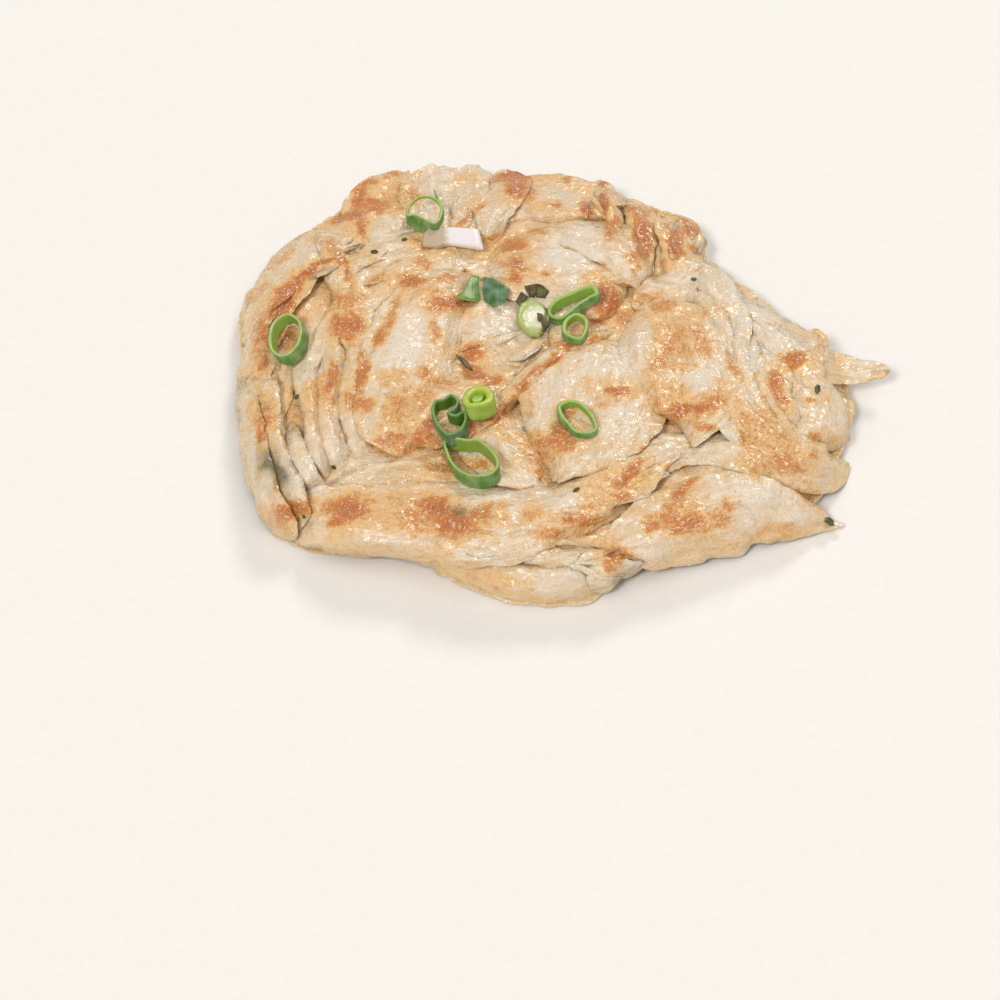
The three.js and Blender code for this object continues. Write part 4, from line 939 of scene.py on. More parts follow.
def strength_of(marks, x, y):
    """How strong the strongest mark is at each place, with a weak halo around each mark."""
    strongest = np.zeros(len(x))
    for at_x, at_y, long, wide, heading, strength in marks:
        reach = 1.6 * max(long, wide) + 2 * HALO
        near = np.flatnonzero((np.abs(x - at_x) < reach) & (np.abs(y - at_y) < reach))
        dx, dy = x[near] - at_x, y[near] - at_y
        c, s = math.cos(math.radians(heading)), math.sin(math.radians(heading))
        distance = np.hypot((dx * c + dy * s) / long, (dy * c - dx * s) / wide)
        beyond = np.maximum(distance - 1, 0) * min(long, wide)
        halo = HALO_STRENGTH * np.exp(-((beyond / HALO) ** 2))
        spread = np.maximum(between(distance, 1.75, 0.35), halo)
        strongest[near] = np.maximum(strongest[near], strength * spread)
    return strongest


def painted(bread, pile):
    """Leaves on each point how browned, pale, glassy and leaf-stained the dough is there."""
    mesh = bread.data
    p = positions(mesh) / MM + PLAN_MIDDLE
    n = normals(mesh)
    to_eye = EYE - p
    to_eye /= np.linalg.norm(to_eye, axis=1)[:, None]
    facing = np.einsum("ij,ij->i", n, to_eye)
    x, y = drawn(p)
    wx = x + 1.5 * lumps(p / 5, 51) + 0.7 * lumps(p / 2, 52)
    wy = y + 1.5 * lumps(p / 5, 53) + 0.7 * lumps(p / 2, 54)
    seen = between(facing, -0.05, 0.25) * between(p[:, 2], 2, 5)
    spared = strength_of(PALE, wx, wy)
    gilded = strength_of(GILDED, wx, wy) * (1 - spared)
    browned = np.maximum(strength_of(BROWNED, wx, wy), gilded) * seen

    # The free edges of the sheets crisped, more in some places than in others.
    here = between(lumps(p / 8, 55) + lumps(p / 2.5, 59), 0.1, 0.7)
    crisp = between(on_points(mesh, "rim"), 1.6, 0) * here
    browned = np.maximum(browned, 0.5 * crisp * between(n[:, 2], -0.4, 0))

    # The sides have only a few scattered brown spots.
    side = between(np.abs(n[:, 2]), 0.45, 0.15) * between(p[:, 2], 1.5, 3.5)
    browned = np.maximum(browned, 0.45 * side * between(lumps(p / 7, 56), 0.15, 0.55))

    # The underside lay on the griddle: golden, with brown blotches where it touched most.
    under = between(n[:, 2], -0.2, -0.7) * between(p[:, 2], 4, 2)
    touch = between(p[:, 2], 0.9, 0.1)
    blotch = between(lumps(p / 11, 57) + 0.5 * lumps(p / 5, 58), -0.25, 0.55)
    browned = lerp(browned, touch * (0.3 + 0.6 * blotch), under)

    # How deep each point lies in a hollow. There the dough is made half glassy: wetter, and a darker tan
    # that is partly painted shade.
    depth = height_on(pile.draped(3, 2), x, y) - p[:, 2]
    hollow = between(depth, 1.2, 5.2)
    glassy = np.maximum(strength_of(GLASSY, wx, wy) * seen, 0.5 * hollow * (1 - under))
    layers = {
        "browned": browned,
        "pale": spared * seen,
        "glassy": glassy,
        "hollow": hollow * (1 - under),
        "stained": strength_of(LEAF_STAINS, wx, wy) * seen,
    }
    for name, values in layers.items():
        mesh.attributes.new(name, "FLOAT", "POINT").data.foreach_set("value", values.astype(np.float32))


def linear(colour):
    """An sRGB hex colour as linear light."""
    share = [int(colour[i : i + 2], 16) / 255 for i in (1, 3, 5)]
    return [s / 12.92 if s <= 0.04045 else ((s + 0.055) / 1.055) ** 2.4 for s in share] + [1.0]


def add(material, kind, inputs=(), out=0, **settings):
    """Adds a node, and gives back one of its outputs.

    inputs maps a socket's name or number to a number, a hex colour or another node's output.
    The setting stops is a list of (place, hex colour) for a colour ramp.
    """
    node = material.node_tree.nodes.new("ShaderNode" + kind)
    for name, value in settings.items():
        if name == "stops":
            ramp = node.color_ramp.elements
            for place, colour in value[2:]:
                ramp.new(place)
            for element, (place, colour) in zip(ramp, value):
                element.position, element.color = place, linear(colour)
        else:
            setattr(node, name, value)
    for name, value in dict(inputs).items():
        socket = node.inputs[name]
        if isinstance(value, bpy.types.NodeSocket):
            material.node_tree.links.new(value, socket)
        else:
            socket.default_value = linear(value) if isinstance(value, str) else value
    return node.outputs[out] if node.outputs else None


def blank(name):
    material = bpy.data.materials.new(name)
    material.use_nodes = True
    material.node_tree.nodes.clear()
    return material


def fried_dough():
    """Wheat dough rolled thin with oil, layered, pan-fried and scrunched loose.

    Its crumb is cream and slightly see-through, so light softens in it, its skin is uneven with grains
    and fine crinkles that run along each sheet, and oil leaves small glints. Where the pan touched it
    browned in speckled patches from gold to a red-brown, and wet hollows are tan and glassier. The tan
    of the hollows is partly painted shade, and the light warm tint over it is painted shade too.
    """
    m = blank("pan_fried_laminated_dough")
    place = add(m, "TexCoord", out=3)
    mm = add(m, "VectorMath", {0: place, 1: (1000, 1000, 1000)}, operation="MULTIPLY")
    browned, pale, glassy, hollow, stained = [
        add(m, "Attribute", out=2, attribute_name=name)
        for name in ("browned", "pale", "glassy", "hollow", "stained")
    ]
    grain = add(m, "Attribute", out=1, attribute_name="grain")

    # Clouds 16 mm wide, patches 6 mm wide, their ragged borders, and the grain of the browned flour
    broad = add(m, "TexNoise", {"Vector": mm, "Scale": 1 / 16, "Detail": 2, "Roughness": 0.5})
    patch = add(m, "TexNoise", {"Vector": mm, "Scale": 1 / 6, "Detail": 3, "Roughness": 0.6})
    ragged = add(m, "TexNoise", {"Vector": mm, "Scale": 1 / 1.9, "Detail": 3, "Roughness": 0.7})
    fine = add(m, "TexNoise", {"Vector": mm, "Scale": 1 / 0.7, "Detail": 1, "Roughness": 0.6})

    # Fibres and crinkles run along a stretched sheet; fibres are drawn twice as wide as they are.
    fibre_at = add(m, "VectorMath", {0: grain, 1: (1 / 7, 1 / 0.9, 1)}, operation="MULTIPLY")
    fibre = add(m, "TexNoise", {"Vector": fibre_at, "Scale": 1, "Detail": 2, "Roughness": 0.6})
    crinkle_at = add(m, "VectorMath", {0: grain, 1: (1 / 8, 1 / 2.6, 1)}, operation="MULTIPLY")
    crinkle = add(m, "TexNoise", {"Vector": crinkle_at, "Scale": 1, "Detail": 3, "Distortion": 0.5})

    # How far the browning went: a golden blush, and within it the orange-brown skin
    strong = add(m, "Math", {0: patch, 1: 1.4, 2: 0.34}, operation="MULTIPLY_ADD")
    heat = add(m, "Math", {0: browned, 1: strong}, operation="MULTIPLY")
    kept = add(m, "Math", {0: pale, 1: -0.8, 2: 0.7}, operation="MULTIPLY_ADD")
    mottle = add(m, "Math", {0: broad, 1: -0.4}, operation="ADD", use_clamp=True)
    blush = add(m, "Math", {0: mottle, 1: kept, 2: heat}, operation="MULTIPLY_ADD")
    blush = add(m, "Math", {0: ragged, 1: 0.6, 2: blush}, operation="MULTIPLY_ADD")
    blush = add(m, "Math", {0: fine, 1: 0.3, 2: blush}, operation="MULTIPLY_ADD")
    blush = add(m, "MapRange", {0: blush, 1: 0.52, 2: 0.84, 4: 0.95}, interpolation_type="SMOOTHSTEP")
    border = add(m, "Math", {0: ragged, 1: 1.25, 2: heat}, operation="MULTIPLY_ADD")
    border = add(m, "Math", {0: fine, 1: 0.75, 2: border}, operation="MULTIPLY_ADD")
    skin = add(m, "MapRange", {0: border, 1: 1.33, 2: 1.63}, interpolation_type="SMOOTHSTEP")

    # The crinkles' ridges are milky and their troughs a darker tan, following the same noise as their
    # relief: partly the dough's own milkiness, partly painted shade of the crinkles.
    milky = add(m, "MapRange", {0: crinkle, 1: 0.42, 2: 0.62}, interpolation_type="SMOOTHSTEP")
    cream = add(m, "Mix", {0: milky, 6: "#E5D3BA", 7: "#F0E5D6"}, out=2, data_type="RGBA")
    cream = add(m, "Mix", {0: pale, 6: cream, 7: "#ECE1D2"}, out=2, data_type="RGBA")
    tan = add(m, "Mix", {0: milky, 6: "#D6BA90", 7: "#E6D2B0"}, out=2, data_type="RGBA")
    wet = add(m, "Math", {0: ragged, 1: 0.8, 2: 0.5}, operation="MULTIPLY_ADD")
    wet = add(m, "Math", {0: glassy, 1: wet}, operation="MULTIPLY", use_clamp=True)
    dough = add(m, "Mix", {0: wet, 6: cream, 7: tan}, out=2, data_type="RGBA")
    gold = add(m, "Mix", {0: fine, 6: "#F2D198", 7: "#DEA45A"}, out=2, data_type="RGBA")
    deep = add(m, "Math", {0: fine, 1: 0.8, 2: -0.4}, operation="MULTIPLY_ADD")
    deep = add(m, "Math", {0: heat, 1: 1.05, 2: deep}, operation="MULTIPLY_ADD", use_clamp=True)
    brown = add(m, "ValToRGB", {0: deep}, stops=[(0.1, "#EDB063"), (0.5, "#DD9347"), (1, "#C47232")])
    # Pale flecks where the fine noise is high: partly small bubbles in the dough, partly painted glints.
    bubbles_and_painted_glints = add(m, "MapRange", {0: fine, 1: 0.56, 2: 0.7, 4: 0.6}, interpolation_type="SMOOTHSTEP")
    # Painted shade: the hollows get a light warm tint that stands in for the warm light the see-through
    # dough lets into their shade.
    painted_warm_shade = add(m, "Math", {0: hollow, 1: 0.6}, operation="MULTIPLY")
    leaf = add(m, "MapRange", {0: stained, 1: 0.1, 2: 0.9, 4: 0.85})
    colour = dough
    shades = [(blush, gold), (skin, brown), (bubbles_and_painted_glints, "#F5EADA"), (painted_warm_shade, "#F1CA90"), (leaf, "#5F6245")]
    for share, shade in shades:
        colour = add(m, "Mix", {0: share, 6: colour, 7: shade}, out=2, data_type="RGBA")

    # Oil lies in the hollows and on the thin wet layers, and dries off the browned grains.
    dry = add(m, "Math", {0: skin, 1: 0.06, 2: 0.33}, operation="MULTIPLY_ADD")
    oiled = add(m, "Math", {0: glassy, 1: -0.1, 2: dry}, operation="MULTIPLY_ADD")
    roughness = add(m, "Math", {0: ragged, 1: 0.22, 2: oiled}, operation="MULTIPLY_ADD")

    # Relief in millimetres: crinkles, fibres, grains and the small bubbles of the browned skin
    bubble = add(m, "TexVoronoi", {"Vector": mm, "Scale": 1 / 1.7, "Smoothness": 0.5}, feature="SMOOTH_F1")
    relief = add(m, "Math", {0: fibre, 1: 0.2}, operation="MULTIPLY")
    relief = add(m, "Math", {0: crinkle, 1: 0.9, 2: relief}, operation="MULTIPLY_ADD")
    relief = add(m, "Math", {0: ragged, 1: 0.85, 2: relief}, operation="MULTIPLY_ADD")
    grains = add(m, "Math", {0: skin, 1: 0.45, 2: 0.4}, operation="MULTIPLY_ADD")
    relief = add(m, "Math", {0: fine, 1: grains, 2: relief}, operation="MULTIPLY_ADD")
    raised = add(m, "Math", {0: skin, 1: -0.3, 2: -0.05}, operation="MULTIPLY_ADD")
    relief = add(m, "Math", {0: bubble, 1: raised, 2: relief}, operation="MULTIPLY_ADD")
    bump = add(m, "Bump", {"Height": relief, "Strength": 1, "Distance": 0.001})

    # The film of oil fills the fine grain, so its glints follow only the crinkles and lumps.
    lump = add(m, "TexNoise", {"Vector": mm, "Scale": 1 / 3.4, "Detail": 1, "Roughness": 0.4})
    film = add(m, "Math", {0: lump, 1: 1.5}, operation="MULTIPLY")
    film = add(m, "Math", {0: crinkle, 1: 0.55, 2: film}, operation="MULTIPLY_ADD")
    oil = add(m, "Bump", {"Height": film, "Strength": 1, "Distance": 0.001})

    surface = add(m, "BsdfPrincipled", {
        "Base Color": colour, "Roughness": roughness, "Normal": bump, "IOR": 1.45,
        "Coat Weight": 0.8, "Coat Roughness": 0.2, "Coat IOR": 1.47, "Coat Normal": oil,
        "Subsurface Weight": 0.55, "Subsurface Radius": (1.0, 0.9, 0.75), "Subsurface Scale": 0.002,
    })
    add(m, "OutputMaterial", {"Surface": surface})
    return m


class Dough:
    """Finds the fried surface, for what lies on it. All in the drawing's millimetres."""

    def __init__(self, bread):
        self.tree = BVHTree.FromObject(bread, bpy.context.evaluated_depsgraph_get())

    def first_hit(self, start, heading):
        hit = self.tree.ray_cast(Vector((start - PLAN_MIDDLE) * MM), Vector(heading))[0]
        return None if hit is None else np.array(hit) / MM + PLAN_MIDDLE

    def height(self, x, y, otherwise):
        hit = self.first_hit(np.array([x, y, 60.0]), (0, 0, -1))
        return otherwise if hit is None else hit[2]

    def slope(self, at):
        """The height where the eye sees the dough at a place of the drawing, and the slope there."""
        toward = np.array([*at, DRAWN_HEIGHT]) - EYE
        seen = self.first_hit(EYE, toward / np.linalg.norm(toward))
        x, y, z = seen
        reach = 4.0
        sides = [(reach, 0), (-reach, 0), (0, reach), (0, -reach)]
        right, left, far, near = [self.height(x + dx, y + dy, z) for dx, dy in sides]
        tilt = np.clip([(right - left) / (2 * reach), (far - near) / (2 * reach)], -0.35, 0.35)
        return z, tilt

    def lowered(self, build, at, sink):
        """Calls build(height, tilt) and lowers what it gives until it lies on the dough."""
        height, tilt = self.slope(at)
        for _ in range(4):
            points, feet = build(height, tilt)
            step = max(1, len(feet) // 60)
            gaps = [z - self.height(x, y, z - 9) for x, y, z in feet[::step]]
            height -= min(gaps) + sink
        return build(height, tilt)[0]


def on_slope(x, y, top, at, height, tilt):
    """The points over x, y of the drawing at height top, raised with the dough's slope at a place."""
    from_place = sight(x, y, top)[:, :2] - sight(*at, height)[:2]
    return sight(x, y, top + from_place @ tilt)


def solid_object(name, points, faces, leaf, slot, material, node=None):
    mesh = bpy.data.meshes.new(name)
    mesh.from_pydata(((points - PLAN_MIDDLE) * MM).tolist(), [], faces)
    mesh.attributes.new("leaf", "FLOAT_VECTOR", "POINT").data.foreach_set("vector", leaf.ravel())
    mesh.materials.append(material)
    mesh.polygons.foreach_set("use_smooth", np.ones(len(mesh.polygons), dtype=bool))
    piece = bpy.data.objects.new(name, mesh)
    bpy.context.scene.collection.objects.link(piece)
    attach(piece, "root")
    if node:
        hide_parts(node)
    return piece


def leaf_ring(dough, at, rim, lean=(0, 0), seed=0, sink=0.3):
    """A slice of a hollow leaf: a wall that hangs from its cut rim.

    rim: stations (x, y, wall, tall, out) on the drawing, round the rim's middle line: the wall's
    thickness, how far down it reaches and how far outward its foot stands. lean: how far the whole
    foot is shifted.
    """
    count = 132
    stations, length = curve_through([(*s, 0) if len(s) == 4 else s for s in rim], count, closed=True)
    wall, tall, out = stations[:, 2], stations[:, 3], stations[:, 4]
    run = np.arange(count) * length / count
    rounding = np.array([0, 0.08, 0.3, 0.7, 1.0])
    side = np.linspace(0, 1, 9)[1:-1]
    # The cross-section, from the rim's middle down the outside, under the foot and up the inside
    wall_side, corner_back = np.full(7, 1), rounding[::-1]
    half = np.concatenate([rounding, wall_side, corner_back])
    across = np.concatenate([half, -half[1:-1]])
    corner = np.minimum(0.28, wall / 2.2)
    sink_of = np.array([0, 0, 0.15, 0.5, 1.0])
    half = np.concatenate([sink_of, wall_side, sink_of[::-1]])
    from_rim = np.concatenate([half, half[1:-1]])
    down = np.concatenate([np.zeros(5), side, np.ones(5), np.ones(4), side[::-1], np.zeros(4)])
    centre = stations[:, :2].mean(0)
    turn = np.roll(stations[:, :2], -1, 0) - np.roll(stations[:, :2], 1, 0)
    outward = np.stack([turn[:, 1], -turn[:, 0]], 1) / np.linalg.norm(turn, axis=1)[:, None]
    if np.sum(outward * (stations[:, :2] - centre)) < 0:
        outward = -outward
    wavy = 0.22 * lumps_over(run / 2.2, 0 * run, seed + 400)

    def build(height, tilt):
        x, y = at[0] + stations[:, 0], at[1] + stations[:, 1]
        rim_line = on_slope(x, y, height + tall.max() + wavy, at, height, tilt)
        straight = corner[:, None] + (tall - 2 * corner)[:, None] * down[None, :]
        depth = straight + corner[:, None] * (from_rim - 1) * np.where(down < 0.5, 1, -1)
        share = depth / tall[:, None]
        push = out[:, None] * share**1.3 + wall[:, None] / 2 * across[None, :]
        shape = rim_line[:, None, :] + np.concatenate([
            outward[:, None, :] * push[..., None] + np.array(lean) * share[..., None],
            -depth[..., None],
        ], -1)
        feet = shape[:, 11:18].reshape(-1, 3)
        return shape.reshape(-1, 3), feet

    points = dough.lowered(build, at, sink)
    columns = len(across)
    quads = quads_of_grid(count + 1, columns, closed=True) % (count * columns)
    depth = tall[:, None] * down[None, :]
    leaf = np.stack(np.broadcast_arrays(run[:, None], depth, across[None, :]), -1).reshape(-1, 3)
    return points, quads, leaf


def leaf_scrap(dough, at, outline, thick=0.8, arch=(0, 0.0), seed=0, sink=0.15, raised=0.0):
    """A flat piece inside a closed outline. arch: the heading of its ridge, and the ridge's height."""
    corners = np.array(outline, float)
    following = np.roll(corners, -1, 0)
    sides = [np.linspace(a, b, 14, endpoint=False) for a, b in zip(corners, following)]
    edge = np.concatenate(sides)
    edge = (edge + 0.25 * (np.roll(edge, 1, 0) + np.roll(edge, -1, 0))) / 1.5
    area = np.sum(corners[:, 0] * following[:, 1] - corners[:, 1] * following[:, 0])
    if area < 0:
        edge = edge[::-1]
    middle = corners.mean(0)
    around = len(edge)
    shares = np.array([0.02, 0.2, 0.4, 0.6, 0.78, 0.9, 0.97, 1.0])
    heading, ridge = math.radians(arch[0]), arch[1]
    spread = np.abs((corners - middle) @ [-math.sin(heading), math.cos(heading)]).max()

    def surface(share):
        flat = middle + (edge - middle) * share
        off = (flat - middle) @ [-math.sin(heading), math.cos(heading)] / spread
        z = ridge * (1 - off**2) + 0.12 * lumps_over(flat[:, 0] / 1.6, flat[:, 1] / 1.6, seed + 500)
        return flat, z

    def build(height, tilt):
        rows, under = [], []
        for share in shares:
            flat, z = surface(share)
            rounded = 0.3 * thick * max(0, share - 0.9) / 0.1
            x, y = at[0] + flat[:, 0], at[1] + flat[:, 1]
            line = on_slope(x, y, height + raised + thick + z, at, height, tilt)
            rows.append(line - [0, 0, rounded])
            under.append(line - [0, 0, thick - rounded])
        shape = np.concatenate(rows + under[::-1])
        return shape, np.concatenate(under)

    points = dough.lowered(build, at, sink)
    rows = 2 * len(shares)
    quads = quads_of_grid(rows, around, closed=True)[:, ::-1]
    last = (rows - 1) * around
    caps = [list(range(around)), list(range(last + around - 1, last - 1, -1))]
    flat = np.concatenate([surface(s)[0] for s in [*shares, *shares[::-1]]])
    skin = np.repeat([1.0] * (len(shares) - 1) + [0.0, 0.0] + [-1.0] * (len(shares) - 1), around)
    leaf = np.concatenate([flat, skin[:, None]], 1)
    return points, [*quads.tolist(), *caps], leaf


def joined(parts):
    """Several closed solids as one mesh."""
    points, faces, leaf, first = [], [], [], 0
    for p, f, q in parts:
        points.append(p)
        leaf.append(q)
        faces += [[int(i) + first for i in face] for face in f]
        first += len(p)
    return np.concatenate(points), faces, np.concatenate(leaf)


def cut_scallion(name, outer, outer_pale, inner, cut):
    """Fresh scallion leaf, cut across with a knife.

    The outside is waxy and finely ribbed lengthwise, the inside is wetter and lighter, and the cut
    face is the palest. The ribs are drawn a little wider apart than they are.
    """
    m = blank(name)
    leaf = add(m, "Attribute", out=1, attribute_name="leaf")
    split = add(m, "SeparateXYZ", {0: leaf}, out=2)
    rib_at = add(m, "VectorMath", {0: leaf, 1: (1 / 0.5, 1 / 9, 0)}, operation="MULTIPLY")
    ribs = add(m, "TexNoise", {"Vector": rib_at, "Scale": 1, "Detail": 2, "Roughness": 0.55})
    cloud_at = add(m, "VectorMath", {0: leaf, 1: (1 / 3.5, 1 / 3.5, 0)}, operation="MULTIPLY")
    cloud = add(m, "TexNoise", {"Vector": cloud_at, "Scale": 1, "Detail": 1})
    tone = add(m, "Math", {0: ribs, 1: 0.5, 2: -0.3}, operation="MULTIPLY_ADD")
    tone = add(m, "Math", {0: cloud, 1: 1.2, 2: tone}, operation="MULTIPLY_ADD", use_clamp=True)
    bloom = add(m, "MapRange", {0: tone, 1: 0.35, 2: 0.8})
    outside = add(m, "Mix", {0: bloom, 6: outer, 7: outer_pale}, out=2, data_type="RGBA")
    is_out = add(m, "MapRange", {0: split, 1: 0.2, 2: 0.95})
    is_in = add(m, "MapRange", {0: split, 1: -0.2, 2: -0.95})
    colour = add(m, "Mix", {0: is_out, 6: cut, 7: outside}, out=2, data_type="RGBA")
    colour = add(m, "Mix", {0: is_in, 6: colour, 7: inner}, out=2, data_type="RGBA")
    bump = add(m, "Bump", {"Height": ribs, "Strength": 0.45, "Distance": 0.00025})
    surface = add(m, "BsdfPrincipled", {
        "Base Color": colour, "Roughness": 0.3, "Normal": bump, "IOR": 1.42,
        "Subsurface Weight": 0.35, "Subsurface Radius": (0.5, 0.8, 0.25), "Subsurface Scale": 0.0012,
    })
    add(m, "OutputMaterial", {"Surface": surface})
    return m


def cut_shank():
    """The thick pale end of a scallion, cut across: wet rings from light green outside to white."""
    m = blank("scallion_shank_cut")
    leaf = add(m, "Attribute", out=1, attribute_name="leaf")
    at = add(m, "VectorMath", {0: leaf, 1: (1, 0.62, 0)}, operation="MULTIPLY")
    out = add(m, "VectorMath", {0: at, 1: (1.0, -0.6, 0)}, out=1, operation="DISTANCE")
    wobble = add(m, "TexNoise", {"Vector": leaf, "Scale": 0.35, "Detail": 1})
    out = add(m, "Math", {0: wobble, 1: 2.2, 2: out}, operation="MULTIPLY_ADD")
    tone = add(m, "MapRange", {0: out, 1: 1.5, 2: 6})
    rings = add(m, "Math", {0: out, 1: 4.6}, operation="MULTIPLY")
    rings = add(m, "Math", {0: rings}, operation="SINE")
    tone = add(m, "Math", {0: rings, 1: 0.07, 2: tone}, operation="MULTIPLY_ADD", use_clamp=True)
    colour = add(m, "ValToRGB", {0: tone}, stops=[(0.1, "#EEF0E4"), (0.5, "#D6DFB8"), (0.85, "#A3B566")])
    bump = add(m, "Bump", {"Height": rings, "Strength": 0.35, "Distance": 0.0002})
    surface = add(m, "BsdfPrincipled", {
        "Base Color": colour, "Roughness": 0.25, "Normal": bump, "IOR": 1.4,
        "Subsurface Weight": 0.5, "Subsurface Radius": (0.8, 1, 0.5), "Subsurface Scale": 0.0015,
    })
    add(m, "OutputMaterial", {"Surface": surface})
    return m


def raw_onion():
    """Raw white onion: wet, glassy at its thin end and milky white where it is thick."""
    m = blank("raw_white_onion")
    leaf = add(m, "Attribute", out=1, attribute_name="leaf")
    along = add(m, "SeparateXYZ", {0: leaf}, out=0)
    vein_at = add(m, "VectorMath", {0: leaf, 1: (1 / 12, 1 / 1.1, 0)}, operation="MULTIPLY")
    veins = add(m, "TexNoise", {"Vector": vein_at, "Scale": 1, "Detail": 2})
    milky = add(m, "Math", {0: veins, 1: 3, 2: along}, operation="MULTIPLY_ADD")
    milky = add(m, "MapRange", {0: milky, 1: -3.5, 2: -1.5})
    colour = add(m, "Mix", {0: milky, 6: "#C2B29E", 7: "#ECE8EC"}, out=2, data_type="RGBA")
    bump = add(m, "Bump", {"Height": veins, "Strength": 0.5, "Distance": 0.0002})
    surface = add(m, "BsdfPrincipled", {
        "Base Color": colour, "Roughness": 0.28, "Normal": bump, "IOR": 1.38,
        "Subsurface Weight": 0.4, "Subsurface Radius": (1, 0.9, 0.8), "Subsurface Scale": 0.0012,
    })
    add(m, "OutputMaterial", {"Surface": surface})
    return m


def scatter_toppings(bread):
    dough = Dough(bread)
    leaf = cut_scallion("scallion_leaf", "#5C8A3C", "#8CAB74", "#8FAE4E", "#A9C473")
    dark = cut_scallion("scallion_leaf_dark", "#44703A", "#7F9C88", "#56792F", "#78A355")
    lime = cut_scallion("scallion_shank_lime", "#8EAF3A", "#B4C968", "#A9C04A", "#B5CC52")
    pale = cut_shank()
    fleck = cut_scallion("scallion_leaf_fleck", "#39441F", "#565F33", "#434C26", "#4E582C")
    burnt = cut_scallion("scallion_scorched_leaf", "#48322C", "#6E6A38", "#33241F", "#5E4A34")
    rings = [
        ("scallion_ring_left", (-71.6, 22.5), RING_LEFT, (1.7, -0.6), "scallion_green", leaf),
        ("scallion_ring_back", (-32, 73), RING_BACK, (0, 0), "scallion_green", leaf),
        ("scallion_loop", (12, 32), LOOP, (0.4, -0.8), "scallion_green", leaf),
        ("scallion_ring_small", (11.2, 20.6), RING_SMALL, (0, -0.6), "scallion_green", leaf),
        ("scallion_curl_dark", (-26, -10.6), CURL_DARK, (0.5, -1), "scallion_dark", dark),
        ("scallion_tube_lime", (-17, -7.4), TUBE_LIME, (0.9, -1.6), "scallion_green", lime),
        ("scallion_ring_front", (-19.8, -28.6), RING_FRONT, (0.3, -0.5), "scallion_green", leaf),
        ("scallion_ring_middle", (9.6, -15.4), RING_MIDDLE, (0, -0.3), "scallion_dark", leaf),
    ]
    for seed, (name, at, rim, lean, slot, material) in enumerate(rings):
        parts = [leaf_ring(dough, at, rim, lean, seed)]
        if name == "scallion_ring_back":
            strand = [(4.6, 4.2), (3.4, 9.3), (3.0, 9.3), (3.6, 4.4)]
            parts.append(leaf_scrap(dough, at, strand, thick=0.5, raised=1.5, sink=-1.5))
        if name == "scallion_tube_lime":
            pith = [(-0.8 + 2.1 * math.cos(a), 0.7 + 2.4 * math.sin(a)) for a in np.linspace(0, 6, 14)]
            parts.append(leaf_scrap(dough, at, pith, thick=3.6, sink=0.6))
        solid_object(name, *joined(parts), slot, material, node=name)
    scraps = [
        ("scallion_leaf_light", (-19, 37.4), LEAF_LIGHT, 0.8, (80, 1.0), "scallion_green", leaf),
        ("scallion_leaf_dark", (-11.2, 36.8), LEAF_DARK, 0.8, (100, 1.3), "scallion_dark", dark),
        ("onion_white", (-21.4, 61.2), ONION, 1.7, (0, 0.2), "onion", raw_onion()),
        ("scallion_bulb_pale", (-1.2, 25.2), BULB, 3.0, (0, 0.3), "scallion_pale", pale),
    ]
    for seed, (name, at, outline, thick, arch, slot, material) in enumerate(scraps):
        shape = leaf_scrap(dough, at, outline, thick, arch, seed)
        solid_object(name, *joined([shape]), slot, material, node=name)
    at = (1.4, 36.4)
    shapes = enumerate(SCORCHED)
    parts = [leaf_scrap(dough, at, outline, 0.7, arch, 20 + i) for i, (outline, arch) in shapes]
    parts.append(leaf_scrap(dough, at, CRACK, 1.2, (0, 0), 30, raised=1.5, sink=-1.2))
    solid_object("scallion_scorched", *joined(parts), "scallion_scorched", burnt, node="scallion_scorched")
    parts = []
    for seed, (x, y, long, wide, heading) in enumerate(FLECKS):
        c, s = math.cos(math.radians(heading)), math.sin(math.radians(heading))
        corners = [(-1, 0), (-0.4, -1), (0.7, -0.8), (1, 0.2), (0.3, 1), (-0.6, 0.8)]
        outline = [(u * long * c - v * wide * s, u * long * s + v * wide * c) for u, v in corners]
        parts.append(leaf_scrap(dough, (x, y), outline, 0.5, (heading, 0.2), 40 + seed, sink=0.1))
    solid_object("leaf_flecks", *joined(parts), "scallion_dark", fleck)


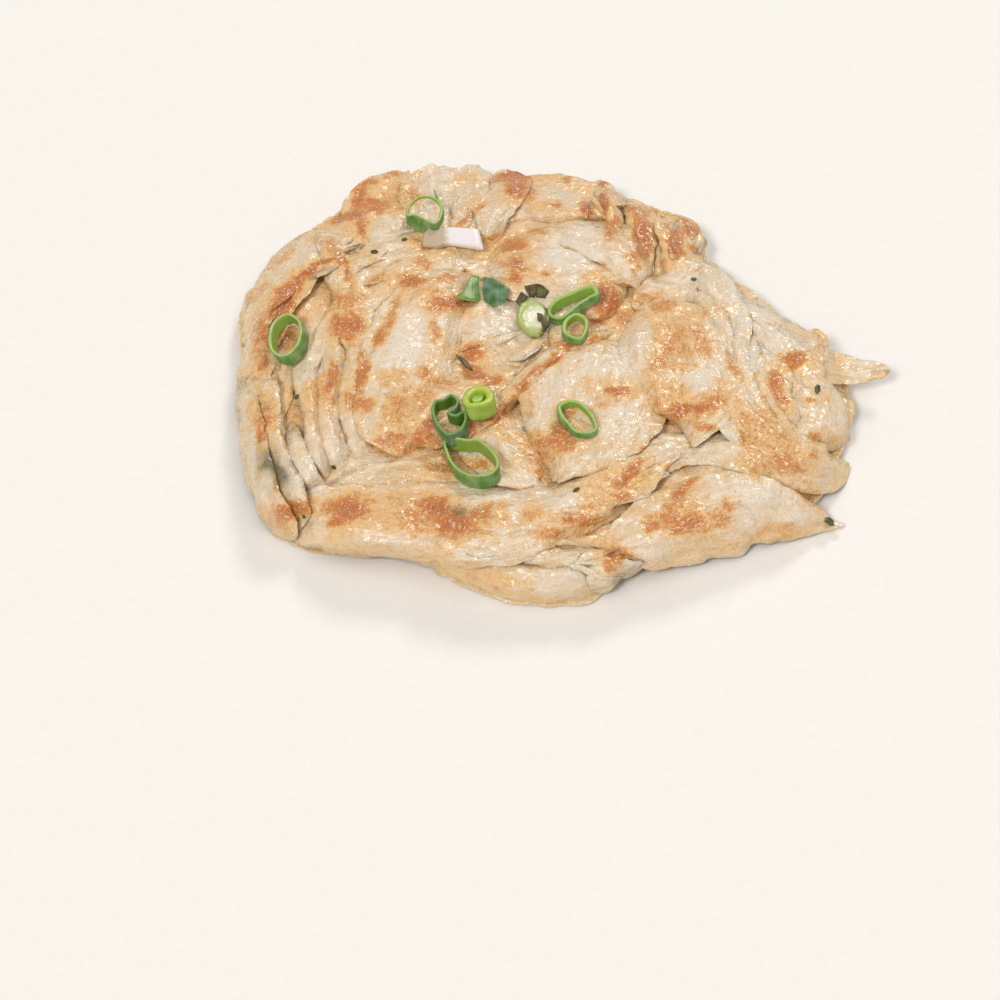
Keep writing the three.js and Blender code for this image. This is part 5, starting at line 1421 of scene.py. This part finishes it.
def photo_camera():
    """The photograph looks down on the bread from the front, rolled a little to the right."""
    elevation, roll = math.radians(CAMERA_ELEVATION), math.radians(CAMERA_ROLL)
    right = Vector((1, 0, 0))
    back = Vector((0, -math.cos(elevation), math.sin(elevation)))
    up = back.cross(right)
    rolled_right = right * math.cos(roll) - up * math.sin(roll)
    rolled_up = right * math.sin(roll) + up * math.cos(roll)
    target = Vector((CAMERA_TARGET - PLAN_MIDDLE) * MM)
    data = bpy.data.cameras.new("photo_camera")
    data.lens = CAMERA_LENS
    data.sensor_width = 36
    camera = bpy.data.objects.new("photo_camera", data)
    place = Matrix.Translation(target + back * CAMERA_DISTANCE * MM)
    camera.matrix_world = place @ Matrix((rolled_right, rolled_up, back)).transposed().to_4x4()
    bpy.context.scene.collection.objects.link(camera)
    bpy.context.scene.camera = camera


def soft_light(name, direction, width, strength, colour="#FFFFFF"):
    """A distant light from this direction that is this many degrees wide."""
    data = bpy.data.lights.new(name, "SUN")
    data.angle = math.radians(width)
    data.energy = strength
    data.color = linear(colour)[:3]
    lamp = bpy.data.objects.new(name, data)
    lamp.rotation_euler = (-Vector(direction)).to_track_quat("-Z", "Y").to_euler()
    bpy.context.scene.collection.objects.link(lamp)


def studio():
    mesh = bpy.data.meshes.new("floor")
    far = 120  # wide enough for low views not to look past it
    mesh.from_pydata([(-far, -far, 0), (far, -far, 0), (far, far, 0), (-far, far, 0)], [], [(0, 1, 2, 3)])
    floor = bpy.data.objects.new("floor", mesh)
    bpy.context.scene.collection.objects.link(floor)
    paper = blank("matt_paper")
    mesh.materials.append(paper)
    place = add(paper, "TexCoord", out=3)
    fibre = add(paper, "TexNoise", {"Vector": place, "Scale": 400, "Detail": 2})
    tone = add(paper, "ValToRGB", {0: fibre}, stops=[(0, "#ECEDEE"), (1, "#F2F3F5")])
    surface = add(paper, "BsdfPrincipled", {"Base Color": tone, "Roughness": 0.85})
    add(paper, "OutputMaterial", {"Surface": surface})
    soft_light("window", (-0.42, -0.58, 0.8), 15, 1.5, "#FFFAF3")
    soft_light("ceiling", (0.3, -0.2, 1.1), 55, 0.66)
    soft_light("back", (0.35, 0.7, 0.6), 14, 0.95, "#FFF8EE")
    world = bpy.data.worlds.new("room")
    bpy.context.scene.world = world
    world.use_nodes = True
    world.node_tree.nodes["Background"].inputs["Color"].default_value = linear("#FBF0E0")
    world.node_tree.nodes["Background"].inputs["Strength"].default_value = 0.38
    bpy.context.scene.view_settings.view_transform = "Standard"


bread, pile = piled_bread()
blistered(bread)
painted(bread, pile)
bread.data.materials.clear()
bread.data.materials.append(fried_dough())
bread.data.polygons.foreach_set("material_index", np.zeros(len(bread.data.polygons), dtype=np.int32))
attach(bread, "root")
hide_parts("bread")
scatter_toppings(bread)
studio()
photo_camera()
